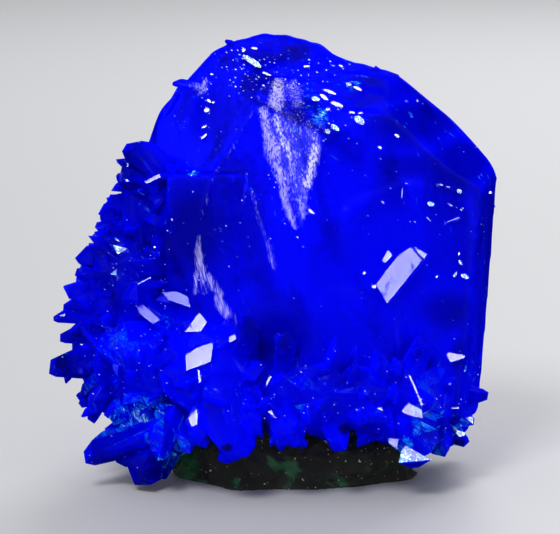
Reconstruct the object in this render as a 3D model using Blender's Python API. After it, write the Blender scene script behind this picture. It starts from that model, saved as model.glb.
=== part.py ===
"""Chalcanthite specimen: one great blue crystal in a crust of small ones, over a lump of dark rock.

The great crystal and the crust have grown into each other, so they are one solid. The rock is a
second one, with a flat underside that the specimen rests on.

Lengths are in millimetres and written as the specimen is seen from the front: across to the right,
up, and toward the viewer. The front view looks down by VIEW_TILT, and place() turns such a point
into world metres with +Z up.
"""

from collections import namedtuple
import math
import random

import bmesh
import bpy
from mathutils import Matrix, Vector, noise
from mathutils.bvhtree import BVHTree

MM = 0.001

# How far the front view looks down, how far the floor lies below the height that the front view
# counts from, and the front-view place of the middle of the specimen's box
VIEW_TILT = math.radians(10.0)
FLOOR_DROP = 2.5
CENTRE_ACROSS = -1.30
CENTRE_AWAY = 4.82

# Play between the crystals and the rock, and between the crystals and the floor
ROCK_GAP = 0.35
FLOOR_GAP = 0.6

# Faces of the great crystal: the way each one faces, and a point on it
Face = namedtuple("Face", "facing through")
GREAT_CRYSTAL = {
    "front left": Face((-0.49, 0.00, 0.87), (-23.4, 50.0, 8.0)),
    "front right": Face((0.37, 0.00, 0.93), (40.0, 50.0, 10.0)),
    "right side": Face((0.94, -0.09, 0.33), (43.4, 63.0, 1.0)),
    "right back": Face((0.90, -0.05, -0.43), (43.2, 60.0, 0.0)),
    "back right": Face((0.49, 0.00, -0.87), (36.0, 50.0, -13.0)),
    "back left": Face((-0.37, 0.00, -0.93), (-10.0, 50.0, -15.0)),
    "left side": Face((-0.97, 0.05, 0.24), (-25.6, 66.0, 0.0)),
    "middle left": Face((-0.45, 0.24, 0.86), (4.6, 51.0, 24.0)),
    "upper left": Face((-0.65, 0.34, 0.68), (-4.4, 77.4, 12.0)),
    "upper right": Face((0.26, 0.26, 0.93), (4.6, 51.0, 24.0)),
    "striated": Face((-0.20, 0.35, 0.91), (4.6, 51.0, 24.0)),
    "dome front": Face((0.07, 0.75, 0.65), (-4.4, 77.4, 12.0)),
    "dome back": Face((0.05, 0.75, -0.66), (0.0, 88.0, -7.0)),
    "upper back": Face((-0.20, 0.42, -0.88), (-10.0, 66.0, -17.0)),
    "right corner": Face((0.86, 0.51, 0.10), (42.4, 65.0, 0.0)),
    "right slope": Face((0.71, 0.69, 0.10), (34.4, 73.8, -2.0)),
    "right slope front": Face((0.56, 0.60, 0.57), (30.0, 74.6, 4.0)),
    "right bend": Face((0.63, 0.77, 0.08), (26.2, 81.0, -3.0)),
    "right shoulder": Face((0.27, 0.96, 0.06), (17.0, 85.0, -4.0)),
    "left slope": Face((-0.75, 0.66, 0.08), (-18.5, 82.0, -2.0)),
    "left bevel": Face((-0.94, 0.34, 0.05), (-25.0, 73.0, -2.0)),
    "dome left": Face((-0.47, 0.88, 0.05), (-11.5, 88.7, -2.0)),
    "dome upper left": Face((-0.29, 0.957, 0.05), (-6.6, 90.6, -2.0)),
    "foot": Face((0.00, -1.00, 0.00), (0.0, 15.0, 0.0)),
}
# The rounded cap that stands a little proud of the great crystal's shoulder
CAP = {
    "top left": Face((-0.29, 0.957, 0.05), (-6.6, 90.6, -2.0)),
    "top": Face((0.10, 0.995, 0.05), (-0.8, 91.3, -2.0)),
    "top right": Face((0.26, 0.965, 0.05), (4.2, 90.4, -2.0)),
    "right": Face((0.58, 0.81, 0.10), (8.5, 88.4, -2.0)),
    "right edge": Face((0.80, 0.55, 0.20), (10.4, 86.8, -2.0)),
    "front": Face((0.09, 0.70, 0.71), (1.0, 89.0, -1.5)),
    "front right": Face((0.58, 0.60, 0.55), (7.6, 87.4, -0.8)),
    "back": Face((-0.15, 0.50, -0.85), (-4.0, 89.4, -5.6)),
    "left": Face((-1.00, 0.00, 0.00), (-8.0, 89.0, -2.0)),
    "foot": Face((0.00, -1.00, 0.00), (0.0, 82.0, 0.0)),
}
# The block that both are cut from
BLOCK_SIZE = 220.0
BLOCK_MIDDLE = (5.0, 50.0, 0.0)

# The front-view outline that no small crystal of the crust passes, in across and up
OUTLINE = (
    (-23.0, 72.0), (-31.5, 70.5), (-33.5, 62.0), (-35.5, 58.5), (-38.5, 53.0), (-41.5, 45.0),
    (-44.0, 38.0), (-45.6, 34.8), (-46.0, 22.0), (-41.0, 16.0), (-40.0, 8.0), (-33.5, 3.0),
    (-25.0, 0.0), (-19.0, 6.0), (-8.0, 6.0), (6.0, 8.5), (17.0, 8.0), (25.0, 5.0), (34.0, 6.0),
    (39.5, 13.0), (40.0, 20.0), (39.5, 27.0), (39.5, 33.0),
)

# Lumps of the crust: the middle and half sizes, how many crystals of each kind grow from it, and
# how coarse they are
Lump = namedtuple("Lump", "middle half blocks blades grain")
CRUST = (
    Lump((-28.0, 56.0, 0.0), (4.5, 10.0, 8.0), 9, 20, 1.0),
    Lump((-31.0, 41.0, 2.0), (8.0, 11.0, 11.0), 12, 34, 1.0),
    Lump((-28.0, 25.0, 4.0), (11.0, 10.0, 14.0), 14, 34, 1.0),
    Lump((-13.0, 24.0, 12.0), (13.0, 10.0, 13.0), 16, 24, 1.0),
    Lump((8.0, 20.0, 15.0), (15.0, 9.0, 12.0), 16, 24, 1.0),
    Lump((26.0, 19.0, 7.0), (9.5, 9.0, 14.0), 14, 24, 1.0),
    Lump((32.0, 18.0, -8.0), (5.0, 7.0, 9.0), 10, 12, 1.2),
    Lump((-23.0, 11.0, 4.0), (9.0, 5.0, 10.0), 6, 12, 1.0),
    Lump((-14.0, 27.0, -15.0), (14.0, 12.0, 9.0), 17, 16, 1.7),
    Lump((14.0, 23.0, -19.0), (15.0, 11.0, 8.0), 17, 16, 1.7),
)
LUMP_ROUGHNESS = 0.10
LUMP_GRAIN = 1.7
# How deep in a lump a crystal's foot may lie in another lump, as a share of that lump's half size
WELL_INSIDE = 0.8
# How far a crystal's place on its lump may stray from an even spiral, in radians
SPIRAL_STRAY = 0.3
# A crystal that would pass the outline is made shorter in steps of this many mm
OUTLINE_STEP = 0.5
CRUST_SEED = 11

# Sizes of the small crystals, smallest and largest, in mm
Growth = namedtuple("Growth", "breadth flatness reach root spread")
BLOCKS = Growth((4.6, 7.6), (0.6, 0.85), (0.6, 2.6), 6.0, 0.35)
BLADES = Growth((1.7, 3.8), (0.4, 0.7), (2.2, 5.4), 3.5, 0.50)

# Crystals that stand out of the crust: root, tip, breadth, thickness and turn about their axis
Crystal = namedtuple("Crystal", "root tip breadth thickness turn")
STANDING_OUT = (
    Crystal((-23.0, 64.0, 2.0), (-31.0, 69.8, 5.0), 7.0, 5.0, 30),
    Crystal((-25.0, 60.0, 4.0), (-31.6, 62.4, 6.0), 4.0, 2.6, 50),
    Crystal((-26.0, 54.0, 2.0), (-34.6, 58.8, 3.0), 3.6, 2.2, 10),
    Crystal((-29.0, 50.0, 4.0), (-37.0, 53.8, 5.0), 4.6, 2.4, 40),
    Crystal((-30.0, 46.0, 6.0), (-37.4, 51.4, 8.0), 2.2, 1.2, 0),
    Crystal((-31.0, 44.0, 4.0), (-38.6, 49.6, 6.0), 4.4, 3.0, 60),
    Crystal((-33.0, 41.0, 3.0), (-41.0, 44.6, 5.0), 4.4, 2.8, 20),
    Crystal((-34.0, 37.0, 5.0), (-43.6, 37.4, 7.0), 4.0, 2.6, -30),
    Crystal((-36.0, 34.2, 6.0), (-45.6, 34.8, 8.0), 3.0, 2.0, 30),
    Crystal((-36.0, 31.0, 4.0), (-44.4, 31.4, 6.0), 4.2, 2.8, 0),
    Crystal((-36.0, 25.6, 7.0), (-46.0, 26.4, 10.0), 7.4, 3.2, 0),
    Crystal((-32.0, 22.0, 6.0), (-40.6, 17.4, 9.0), 3.6, 2.2, 20),
    Crystal((-34.0, 22.0, 8.0), (-38.8, 14.2, 11.0), 4.4, 3.0, -20),
    Crystal((-28.0, 18.0, 10.0), (-35.4, 15.2, 14.0), 4.4, 3.0, 45),
    Crystal((-22.0, 12.0, 10.0), (-39.4, 8.2, 13.0), 7.4, 5.0, 15),
    Crystal((-25.0, 11.0, 5.0), (-29.6, 0.8, 14.0), 11.0, 8.0, 30),
    Crystal((-21.0, 16.0, 14.0), (-24.4, 6.2, 20.0), 5.4, 3.6, 40),
    Crystal((-18.0, 15.0, 14.0), (-19.4, 7.8, 20.0), 4.0, 2.8, 0),
    Crystal((-10.4, 30.0, 10.0), (-10.6, 6.0, 26.0), 12.5, 9.0, 20),
    Crystal((-0.4, 24.0, 14.0), (-0.4, 9.2, 26.5), 7.8, 5.0, 0),
    Crystal((2.6, 24.0, 16.0), (2.0, 11.0, 28.0), 3.0, 2.4, 30),
    Crystal((12.0, 24.0, 12.0), (10.0, 8.2, 25.0), 6.4, 4.6, 10),
    Crystal((6.0, 27.0, 15.0), (5.8, 13.4, 27.6), 4.4, 3.2, 60),
    Crystal((-5.0, 28.0, 12.0), (-5.4, 11.4, 26.4), 4.8, 3.4, -20),
    Crystal((14.4, 27.0, 12.0), (15.4, 13.0, 26.0), 4.4, 3.0, 20),
    Crystal((17.0, 18.0, 12.0), (16.6, 9.4, 20.0), 4.4, 3.2, 50),
    Crystal((19.0, 26.0, 10.0), (20.6, 10.6, 23.6), 5.0, 3.6, -30),
    Crystal((-15.0, 24.0, 14.0), (-16.0, 9.8, 24.4), 5.2, 3.8, 50),
    Crystal((8.0, 18.0, 19.0), (13.0, 31.0, 27.0), 5.0, 3.6, 10),
    Crystal((22.0, 18.0, 14.0), (29.4, 30.0, 20.4), 5.4, 3.4, -20),
    Crystal((-10.0, 24.0, 17.0), (-4.6, 35.2, 27.4), 5.8, 4.0, 20),
    Crystal((0.0, 20.0, 18.0), (1.6, 32.4, 28.0), 4.6, 3.4, 40),
    Crystal((18.0, 18.0, 16.0), (20.4, 28.0, 25.0), 4.8, 3.2, -40),
    Crystal((24.0, 20.0, 8.0), (25.4, 5.2, 21.0), 14.0, 10.0, 25),
    Crystal((30.0, 17.0, 8.0), (32.8, 6.6, 18.0), 6.0, 4.4, 60),
    Crystal((31.0, 15.0, 6.0), (36.6, 8.2, 11.0), 4.6, 3.4, 0),
    Crystal((31.0, 17.0, 7.0), (38.8, 12.8, 12.0), 4.6, 3.0, 30),
    Crystal((31.0, 20.4, 3.0), (41.8, 17.6, 6.0), 4.4, 2.6, 10),
    Crystal((31.0, 26.0, 3.0), (39.4, 24.8, 7.0), 4.6, 3.4, 40),
    Crystal((-15.6, 81.0, 0.0), (-21.8, 82.2, 1.0), 1.9, 1.4, 10),
    Crystal((-20.0, 81.0, 1.5), (-23.6, 74.6, 2.5), 2.0, 1.2, 80),
    Crystal((-8.2, 88.4, -1.0), (-11.0, 90.9, 0.0), 1.5, 1.1, 20),
    Crystal((20.0, 82.6, -4.0), (21.4, 84.6, -3.6), 5.0, 3.0, 0),
)

# Crystals that show one broad bright face: its middle, length, breadth and the way its length runs
Tablet = namedtuple("Tablet", "across up length breadth heading slant")
BRIGHT_FACES = (
    Tablet(23.8, 43.0, 10.4, 3.6, 50, 8),
    Tablet(21.0, 47.0, 2.2, 1.6, 50, 8),
    Tablet(-16.0, 27.2, 5.2, 4.0, 19, -19),
    Tablet(-15.8, 33.1, 4.6, 2.6, 40, 35),
    Tablet(-26.4, 35.6, 6.0, 1.9, -37, 30),
    Tablet(-20.8, 38.2, 5.4, 2.6, -15, -30),
    Tablet(-32.2, 48.2, 3.2, 2.0, -5, 30),
    Tablet(-25.8, 62.4, 3.6, 1.2, 22, 10),
    Tablet(35.0, 26.6, 3.4, 1.7, -10, 25),
    Tablet(26.0, 16.4, 4.2, 3.2, -10, 20),
    Tablet(-17.0, 14.8, 3.6, 2.0, 65, -20),
    Tablet(-1.6, 16.2, 3.0, 1.5, -60, -30),
    Tablet(-9.4, 30.8, 2.0, 1.5, 10, 0),
)
TABLET_THICKNESS = 4.0
TABLET_RISE = 0.7
TABLET_FLARE = 0.12
TABLET_BLOCK = 40.0
# How far other tips keep from a bright face, and the way the bright faces face
BRIGHT_CLEARANCE = 0.8
BRIGHT_FACING = (-0.10, 0.30, 0.95)
# Rays toward the specimen start this far in front of it
RAY_START = 100.0

# Crystals of one mineral keep the same angles between their faces. Only the sizes differ.
# The turns of the side faces about the axis, then the lean and turn of the tip faces, in degrees
SIX_SIDES = (0.0, 57.0, 123.0)
FOUR_SIDES = (0.0, 76.0)
BLUNT_TIP = ((38.0, 20.0), (60.0, 190.0), (62.0, 100.0))
SHARP_TIP = ((64.0, 12.0), (68.0, 192.0), (60.0, 98.0))
# Each further tip face starts this share of the thickness lower down
TIP_STEP = 0.12
# Crystals broader than this, in mm, have blunt tips
BLUNT_BREADTH = 5.0

# The rock: its middle, across and away in the front view and then above its underside, its half
# sizes, and the size and depth of its bumps
ROCK_MIDDLE = (3.0, 5.0, 3.0)
ROCK_HALF = (26.0, 20.0, 15.0)
ROCK_ROUGHNESS = 0.20
ROCK_BUMPS = 1.6
ROCK_FINE_BUMPS = 4.1
ROCK_SHAPE = Vector((4.0, 1.0, 2.0))
# How far the space for the rock, and the block that frees the floor, reach
ROCK_SPACE_FLOOR = -5.0
FLOOR_BLOCK = 300.0

CRYSTAL_BLUE = (0.004, 0.010, 0.55, 1.0)
CRYSTAL_GLOSS = 0.12
ROCK_DARK = (0.012, 0.016, 0.012, 1.0)
ROCK_MATT = 0.85


def place(across, up, toward):
    """World metres of a point given in mm as seen from the front."""
    away = up * math.sin(VIEW_TILT) - toward * math.cos(VIEW_TILT)
    height = up * math.cos(VIEW_TILT) + toward * math.sin(VIEW_TILT)
    return Vector((across - CENTRE_ACROSS, away - CENTRE_AWAY, height - FLOOR_DROP)) * MM


def direction(across, up, toward):
    """World unit direction of a direction given as seen from the front."""
    return (place(across, up, toward) - place(0.0, 0.0, 0.0)).normalized()


def cut_block(planes, size, middle):
    """A closed convex solid: a block cut back by planes, each given as point and outward normal."""
    solid = bmesh.new()
    bmesh.ops.create_cube(solid, size=size, matrix=Matrix.Translation(middle))
    for point, normal in planes:
        everything = solid.verts[:] + solid.edges[:] + solid.faces[:]
        cut = bmesh.ops.bisect_plane(
            solid, geom=everything, plane_co=point, plane_no=normal, clear_outer=True, dist=1e-9)
        rim = [part for part in cut["geom_cut"] if isinstance(part, bmesh.types.BMEdge)]
        if rim:
            bmesh.ops.contextual_create(solid, geom=rim)
    bmesh.ops.recalc_face_normals(solid, faces=solid.faces[:])
    return solid


def as_object(name, solid, material):
    """An object in the scene made from a bmesh, which is freed."""
    mesh = bpy.data.meshes.new(name)
    solid.to_mesh(mesh)
    solid.free()
    mesh.materials.append(material)
    thing = bpy.data.objects.new(name, mesh)
    bpy.context.scene.collection.objects.link(thing)
    return thing


def from_faces(faces):
    """A convex crystal cut from a block by its faces."""
    planes = []
    for face in faces.values():
        planes.append((place(*face.through), direction(*face.facing)))
    return cut_block(planes, BLOCK_SIZE * MM, place(*BLOCK_MIDDLE))


def crust_lump(lump, seed):
    """One rough lump of the crust."""
    solid = bmesh.new()
    bmesh.ops.create_icosphere(solid, subdivisions=2, radius=1.0)
    shift = Vector((seed, 0.0, 0.0))
    for vert in solid.verts:
        swell = 1.0 + LUMP_ROUGHNESS * noise.noise(vert.co * LUMP_GRAIN + shift)
        spread = [middle + half * part * swell
                  for middle, half, part in zip(lump.middle, lump.half, vert.co)]
        vert.co = place(*spread)
    bmesh.ops.recalc_face_normals(solid, faces=solid.faces[:])
    return solid


def crystal(root, tip, broad, breadth, thickness, turns, tips):
    """One crystal from root to tip, with its broad face turned toward broad. World metres."""
    axis = (tip - root).normalized()
    out = (broad - axis * broad.dot(axis)).normalized()
    side = axis.cross(out)
    planes = []
    for turn in turns:
        angle = math.radians(turn)
        facing = out * math.cos(angle) + side * math.sin(angle)
        reach = thickness / 2 if turn == 0.0 else breadth / 2 * math.sin(angle)
        planes.append((root + facing * reach, facing))
        planes.append((root - facing * reach, -facing))
    for number, (lean, turn) in enumerate(tips):
        lean_angle = math.radians(lean)
        turn_angle = math.radians(turn)
        sideways = out * math.cos(turn_angle) + side * math.sin(turn_angle)
        facing = axis * math.cos(lean_angle) + sideways * math.sin(lean_angle)
        planes.append((tip - axis * number * TIP_STEP * thickness, facing))
    planes.append((root, -axis))
    size = 3.0 * ((tip - root).length + breadth)
    return cut_block(planes, size, root)


def toward_viewer(axis, turn):
    """A direction square to the axis, turned about it from facing the viewer by so many degrees."""
    facing = direction(0.0, 0.0, 1.0)
    facing = (facing - axis * facing.dot(axis)).normalized()
    return Matrix.Rotation(math.radians(turn), 3, axis) @ facing


def standing_out(entry):
    """A named crystal of the crust."""
    root = place(*entry.root)
    tip = place(*entry.tip)
    broad = toward_viewer((tip - root).normalized(), entry.turn)
    tips = BLUNT_TIP if entry.breadth > BLUNT_BREADTH else SHARP_TIP
    return crystal(root, tip, broad, entry.breadth * MM, entry.thickness * MM, SIX_SIDES, tips)


def bright_face(entry, surface):
    """A crystal that shows one broad face, a little proud of the surface that the viewer sees."""
    eye = place(entry.across, entry.up, RAY_START)
    hit = surface.ray_cast(eye, direction(0.0, 0.0, -1.0))[0]
    if hit is None:
        raise ValueError(f"nothing behind the bright face {entry}")
    facing = direction(*BRIGHT_FACING)
    heading = math.radians(entry.heading)
    along = direction(math.cos(heading), math.sin(heading), 0.0)
    along = (along - facing * along.dot(facing)).normalized()
    side = facing.cross(along)
    middle = hit + facing * TABLET_RISE * MM
    skew = math.radians(entry.slant)
    slant = along * math.cos(skew) + side * math.sin(skew)
    planes = [(middle, facing)]
    for sign in (-1, 1):
        planes.append((middle + slant * sign * entry.length / 2 * MM, slant * sign))
        flank = side * sign - facing * TABLET_FLARE
        planes.append((middle + side * sign * entry.breadth / 2 * MM, flank))
    planes.append((middle - facing * TABLET_THICKNESS * MM, -facing))
    return cut_block(planes, TABLET_BLOCK * MM, middle)


def surface_of(solids):
    """Something that rays can be cast on, made of several bmeshes."""
    joined = bmesh.new()
    for solid in solids:
        mesh = bpy.data.meshes.new("surface")
        solid.to_mesh(mesh)
        joined.from_mesh(mesh)
        bpy.data.meshes.remove(mesh)
    tree = BVHTree.FromBMesh(joined)
    joined.free()
    return tree


def inside_great_crystal(point):
    """Whether a world point lies inside the great crystal."""
    for face in GREAT_CRYSTAL.values():
        if (point - place(*face.through)).dot(direction(*face.facing)) > 0.0:
            return False
    return True


def inside_lump(point, lump):
    """Whether a point in front-view mm lies well inside a lump."""
    offset = [(part - middle) / half for part, middle, half in zip(point, lump.middle, lump.half)]
    return sum(part * part for part in offset) < WELL_INSIDE


def inside_outline(across, up):
    """Whether a front-view point lies inside the outline of the crust or of the great crystal."""
    inside = inside_great_crystal(place(across, up, 0.0))
    if inside:
        return True
    for number, (x1, y1) in enumerate(OUTLINE):
        x0, y0 = OUTLINE[number - 1]
        if (y0 > up) != (y1 > up) and across < x0 + (up - y0) * (x1 - x0) / (y1 - y0):
            inside = not inside
    return inside


def hides_bright_face(across, up, toward):
    """Whether a tip at a front-view point would stand before one of the bright faces."""
    for entry in BRIGHT_FACES:
        clear = entry.length / 2 + BRIGHT_CLEARANCE
        if toward > 0.0 and math.hypot(across - entry.across, up - entry.up) < clear:
            return True
    return False


def lump_growth(lump, count, growth, turns, tips, rng):
    """Crystals of one kind, set round a lump on an even spiral."""
    golden = math.pi * (3.0 - math.sqrt(5.0))
    solids = []
    for number in range(count):
        level = 1.0 - 2.0 * (number + 0.5) / count
        around = golden * number + rng.uniform(-SPIRAL_STRAY, SPIRAL_STRAY)
        ring = math.sqrt(1.0 - level * level)
        unit = Vector((ring * math.cos(around), level, ring * math.sin(around)))
        foot = Vector([middle + half * part
                       for middle, half, part in zip(lump.middle, lump.half, unit)])
        outward = Vector([part / half for part, half in zip(unit, lump.half)]).normalized()
        outward += Vector([rng.uniform(-growth.spread, growth.spread) for _ in range(3)])
        outward.normalize()
        breadth = rng.uniform(*growth.breadth) * lump.grain
        thickness = breadth * rng.uniform(*growth.flatness)
        reach = rng.uniform(*growth.reach) * lump.grain
        turn = rng.uniform(0.0, 180.0)
        if any(inside_lump(foot, other) for other in CRUST if other is not lump):
            continue
        while reach > 0.0 and not inside_outline(*(foot + outward * reach)[:2]):
            reach -= OUTLINE_STEP
        end = foot + outward * reach
        tip = place(*end)
        if reach <= 0.0 or inside_great_crystal(tip) or hides_bright_face(*end):
            continue
        root = place(*(foot - outward * growth.root))
        broad = toward_viewer((tip - root).normalized(), turn)
        faces = tips[:2] if number % 2 else tips
        solids.append(crystal(root, tip, broad, breadth * MM, thickness * MM, turns, faces))
    return solids


def small_crystals(rng):
    """The small crystals that cover the crust."""
    solids = []
    for lump in CRUST:
        solids += lump_growth(lump, lump.blocks, BLOCKS, SIX_SIDES, BLUNT_TIP, rng)
        solids += lump_growth(lump, lump.blades, BLADES, FOUR_SIDES, SHARP_TIP, rng)
    return solids


def rock(grow):
    """The lump of rock, grown by so many mm all round, with its flat underside on the floor."""
    solid = bmesh.new()
    bmesh.ops.create_icosphere(solid, subdivisions=3, radius=1.0)
    across, away, above = ROCK_MIDDLE
    middle = Vector((across - CENTRE_ACROSS, away - CENTRE_AWAY, above))
    for vert in solid.verts:
        swell = 1.0 + ROCK_ROUGHNESS * noise.noise(vert.co * ROCK_BUMPS + ROCK_SHAPE)
        swell += ROCK_ROUGHNESS / 2 * noise.noise(vert.co * ROCK_FINE_BUMPS)
        spread = Vector([half * part * swell for half, part in zip(ROCK_HALF, vert.co)])
        vert.co = (middle + spread + vert.co.normalized() * grow) * MM
    floor = ROCK_SPACE_FLOOR * MM if grow else 0.0
    everything = solid.verts[:] + solid.edges[:] + solid.faces[:]
    cut = bmesh.ops.bisect_plane(
        solid, geom=everything, plane_co=(0.0, 0.0, floor), plane_no=(0.0, 0.0, -1.0),
        clear_outer=True)
    rim = [part for part in cut["geom_cut"] if isinstance(part, bmesh.types.BMEdge)]
    bmesh.ops.contextual_create(solid, geom=rim)
    bmesh.ops.recalc_face_normals(solid, faces=solid.faces[:])
    return solid


def fuse(body, others):
    """Join overlapping closed objects to one body, and remove the ones it was joined from."""
    grown = bpy.data.collections.new("grown together")
    bpy.context.scene.collection.children.link(grown)
    for other in others:
        bpy.context.scene.collection.objects.unlink(other)
        grown.objects.link(other)
    union = body.modifiers.new("union", "BOOLEAN")
    union.operation = "UNION"
    union.solver = "EXACT"
    union.operand_type = "COLLECTION"
    union.collection = grown
    apply_modifiers(body)
    for other in others:
        bpy.data.objects.remove(other)
    bpy.data.collections.remove(grown)


def take_away(body, cutter):
    """Cut one closed object out of another, and remove the cutter."""
    cut = body.modifiers.new("cut", "BOOLEAN")
    cut.operation = "DIFFERENCE"
    cut.solver = "EXACT"
    cut.object = cutter
    apply_modifiers(body)
    bpy.data.objects.remove(cutter)


def apply_modifiers(body):
    """Replace an object's mesh by what its modifiers make of it."""
    bpy.context.view_layer.update()
    graph = bpy.context.evaluated_depsgraph_get()
    mesh = bpy.data.meshes.new_from_object(body.evaluated_get(graph))
    body.modifiers.clear()
    body.data = mesh


def keep_outer_skin(body):
    """Fill the pockets sealed in a solid, and drop loose chips: only its largest skin is kept."""
    solid = bmesh.new()
    solid.from_mesh(body.data)
    unseen = set(solid.verts)
    skins = []
    while unseen:
        queue = [unseen.pop()]
        skin = set(queue)
        while queue:
            for edge in queue.pop().link_edges:
                for vert in edge.verts:
                    if vert in unseen:
                        unseen.discard(vert)
                        skin.add(vert)
                        queue.append(vert)
        skins.append(skin)
    skins.sort(key=len)
    for skin in skins[:-1]:
        bmesh.ops.delete(solid, geom=list(skin), context="VERTS")
    print("skins dropped:", [len(skin) for skin in skins[:-1]])
    solid.to_mesh(body.data)
    solid.free()


def material(name, colour, roughness):
    """A plain Principled material."""
    made = bpy.data.materials.new(name)
    made.use_nodes = True
    shader = made.node_tree.nodes["Principled BSDF"]
    shader.inputs["Base Color"].default_value = colour
    shader.inputs["Roughness"].default_value = roughness
    shader.inputs["Metallic"].default_value = 0.0
    return made


def crystal_group(blue):
    """The great crystal and its crust, as one solid."""
    rng = random.Random(CRUST_SEED)
    solids = [from_faces(GREAT_CRYSTAL), from_faces(CAP)]
    solids += [crust_lump(lump, number) for number, lump in enumerate(CRUST)]
    solids += [standing_out(entry) for entry in STANDING_OUT]
    surface = surface_of(solids)
    solids += [bright_face(entry, surface) for entry in BRIGHT_FACES]
    solids += small_crystals(rng)
    print("crystals:", len(solids))
    things = [as_object("grown", solid, blue) for solid in solids]
    body = things[0]
    body.name = "crystals"
    fuse(body, things[1:])
    take_away(body, as_object("rock space", rock(ROCK_GAP), blue))
    floor_plane = (Vector((0.0, 0.0, FLOOR_GAP * MM)), Vector((0.0, 0.0, 1.0)))
    floor = cut_block([floor_plane], FLOOR_BLOCK * MM, Vector())
    take_away(body, as_object("floor space", floor, blue))
    keep_outer_skin(body)
    return body


def main():
    for thing in list(bpy.data.objects):
        bpy.data.objects.remove(thing)
    crystals = crystal_group(material("chalcanthite", CRYSTAL_BLUE, CRYSTAL_GLOSS))
    matrix = as_object("matrix", rock(0.0), material("dark rock", ROCK_DARK, ROCK_MATT))
    corners = [vert.co for thing in (crystals, matrix) for vert in thing.data.vertices]
    low = [min(corner[axis] for corner in corners) / MM for axis in range(3)]
    high = [max(corner[axis] for corner in corners) / MM for axis in range(3)]
    print("box, mm:", [round(part, 2) for part in low], [round(part, 2) for part in high])
    for thing in (crystals, matrix):
        thing.data.calc_loop_triangles()
        print(thing.name, "triangles:", len(thing.data.loop_triangles))


main()
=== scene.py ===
# %% [markdown]
# # A chalcanthite specimen
# Chalcanthite is natural copper sulphate, and it grows in a blue so deep that most of the light
# that goes in comes back with no red or green left in it. This specimen is one great crystal,
# rounded at the top where damp air has started to dissolve it, in a crust of small sharp crystals,
# on a lump of dark rock.
#
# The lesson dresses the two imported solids: first the great crystal's worn faces, then the finest
# crystals of the crust, then the see-through material, and at the end the rock, floor and light.

# %% Loading the frame
import math
import random

import bmesh
import bpy
from mathutils import Matrix, Vector, noise
from mathutils.bvhtree import BVHTree


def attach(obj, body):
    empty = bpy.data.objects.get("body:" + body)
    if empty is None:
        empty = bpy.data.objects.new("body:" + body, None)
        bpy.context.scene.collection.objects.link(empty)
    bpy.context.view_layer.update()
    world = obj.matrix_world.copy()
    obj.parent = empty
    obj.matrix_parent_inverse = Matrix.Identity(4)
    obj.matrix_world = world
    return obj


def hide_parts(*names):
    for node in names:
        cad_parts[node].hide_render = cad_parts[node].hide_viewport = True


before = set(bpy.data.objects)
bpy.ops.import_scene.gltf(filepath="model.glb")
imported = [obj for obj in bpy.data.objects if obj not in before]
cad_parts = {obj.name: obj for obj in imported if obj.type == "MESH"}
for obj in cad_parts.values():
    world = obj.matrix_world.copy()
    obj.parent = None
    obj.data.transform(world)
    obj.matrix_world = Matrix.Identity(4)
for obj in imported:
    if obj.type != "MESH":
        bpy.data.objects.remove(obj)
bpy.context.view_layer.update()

# %% [markdown]
# ## Measuring as the eye does
# The great crystal's faces are easiest to describe as they are seen from the front: so far across,
# so far up, so far toward the viewer. The front view looks down a little, so one helper turns such
# a point into world metres, a second one turns directions, and a third one goes back.

# %% The front view
MM = 0.001
VIEW_TILT = math.radians(10.0)
FLOOR_DROP = 2.5
CENTRE_ACROSS = -1.30
CENTRE_AWAY = 4.82


def place(across, up, toward):
    """World metres of a point given in mm as seen from the front."""
    away = up * math.sin(VIEW_TILT) - toward * math.cos(VIEW_TILT)
    height = up * math.cos(VIEW_TILT) + toward * math.sin(VIEW_TILT)
    return Vector((across - CENTRE_ACROSS, away - CENTRE_AWAY, height - FLOOR_DROP)) * MM


def direction(across, up, toward):
    """World unit direction of a direction given as seen from the front."""
    return (place(across, up, toward) - place(0.0, 0.0, 0.0)).normalized()


ACROSS = direction(1.0, 0.0, 0.0)
UP = direction(0.0, 1.0, 0.0)
TOWARD = direction(0.0, 0.0, 1.0)
FRONT_ORIGIN = place(0.0, 0.0, 0.0)


def seen_from_front(point):
    """Across, up and toward in mm of a world point."""
    offset = (point - FRONT_ORIGIN) / MM
    return Vector((offset.dot(ACROSS), offset.dot(UP), offset.dot(TOWARD)))


print("front view looks along", [round(part, 3) for part in -TOWARD])

# %% [markdown]
# ## The great crystal
# A crystal is what is left of a block when flat faces are cut on it. Each face is a direction and a
# point it passes through, and a bisect throws away what lies outside. Real crystals of this mineral
# have few faces low down, where they are fresh, and many small ones at the top, where solution has
# blunted them. The faces here lie a hair outside the solid that they cover, so that it never shows.

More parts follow.
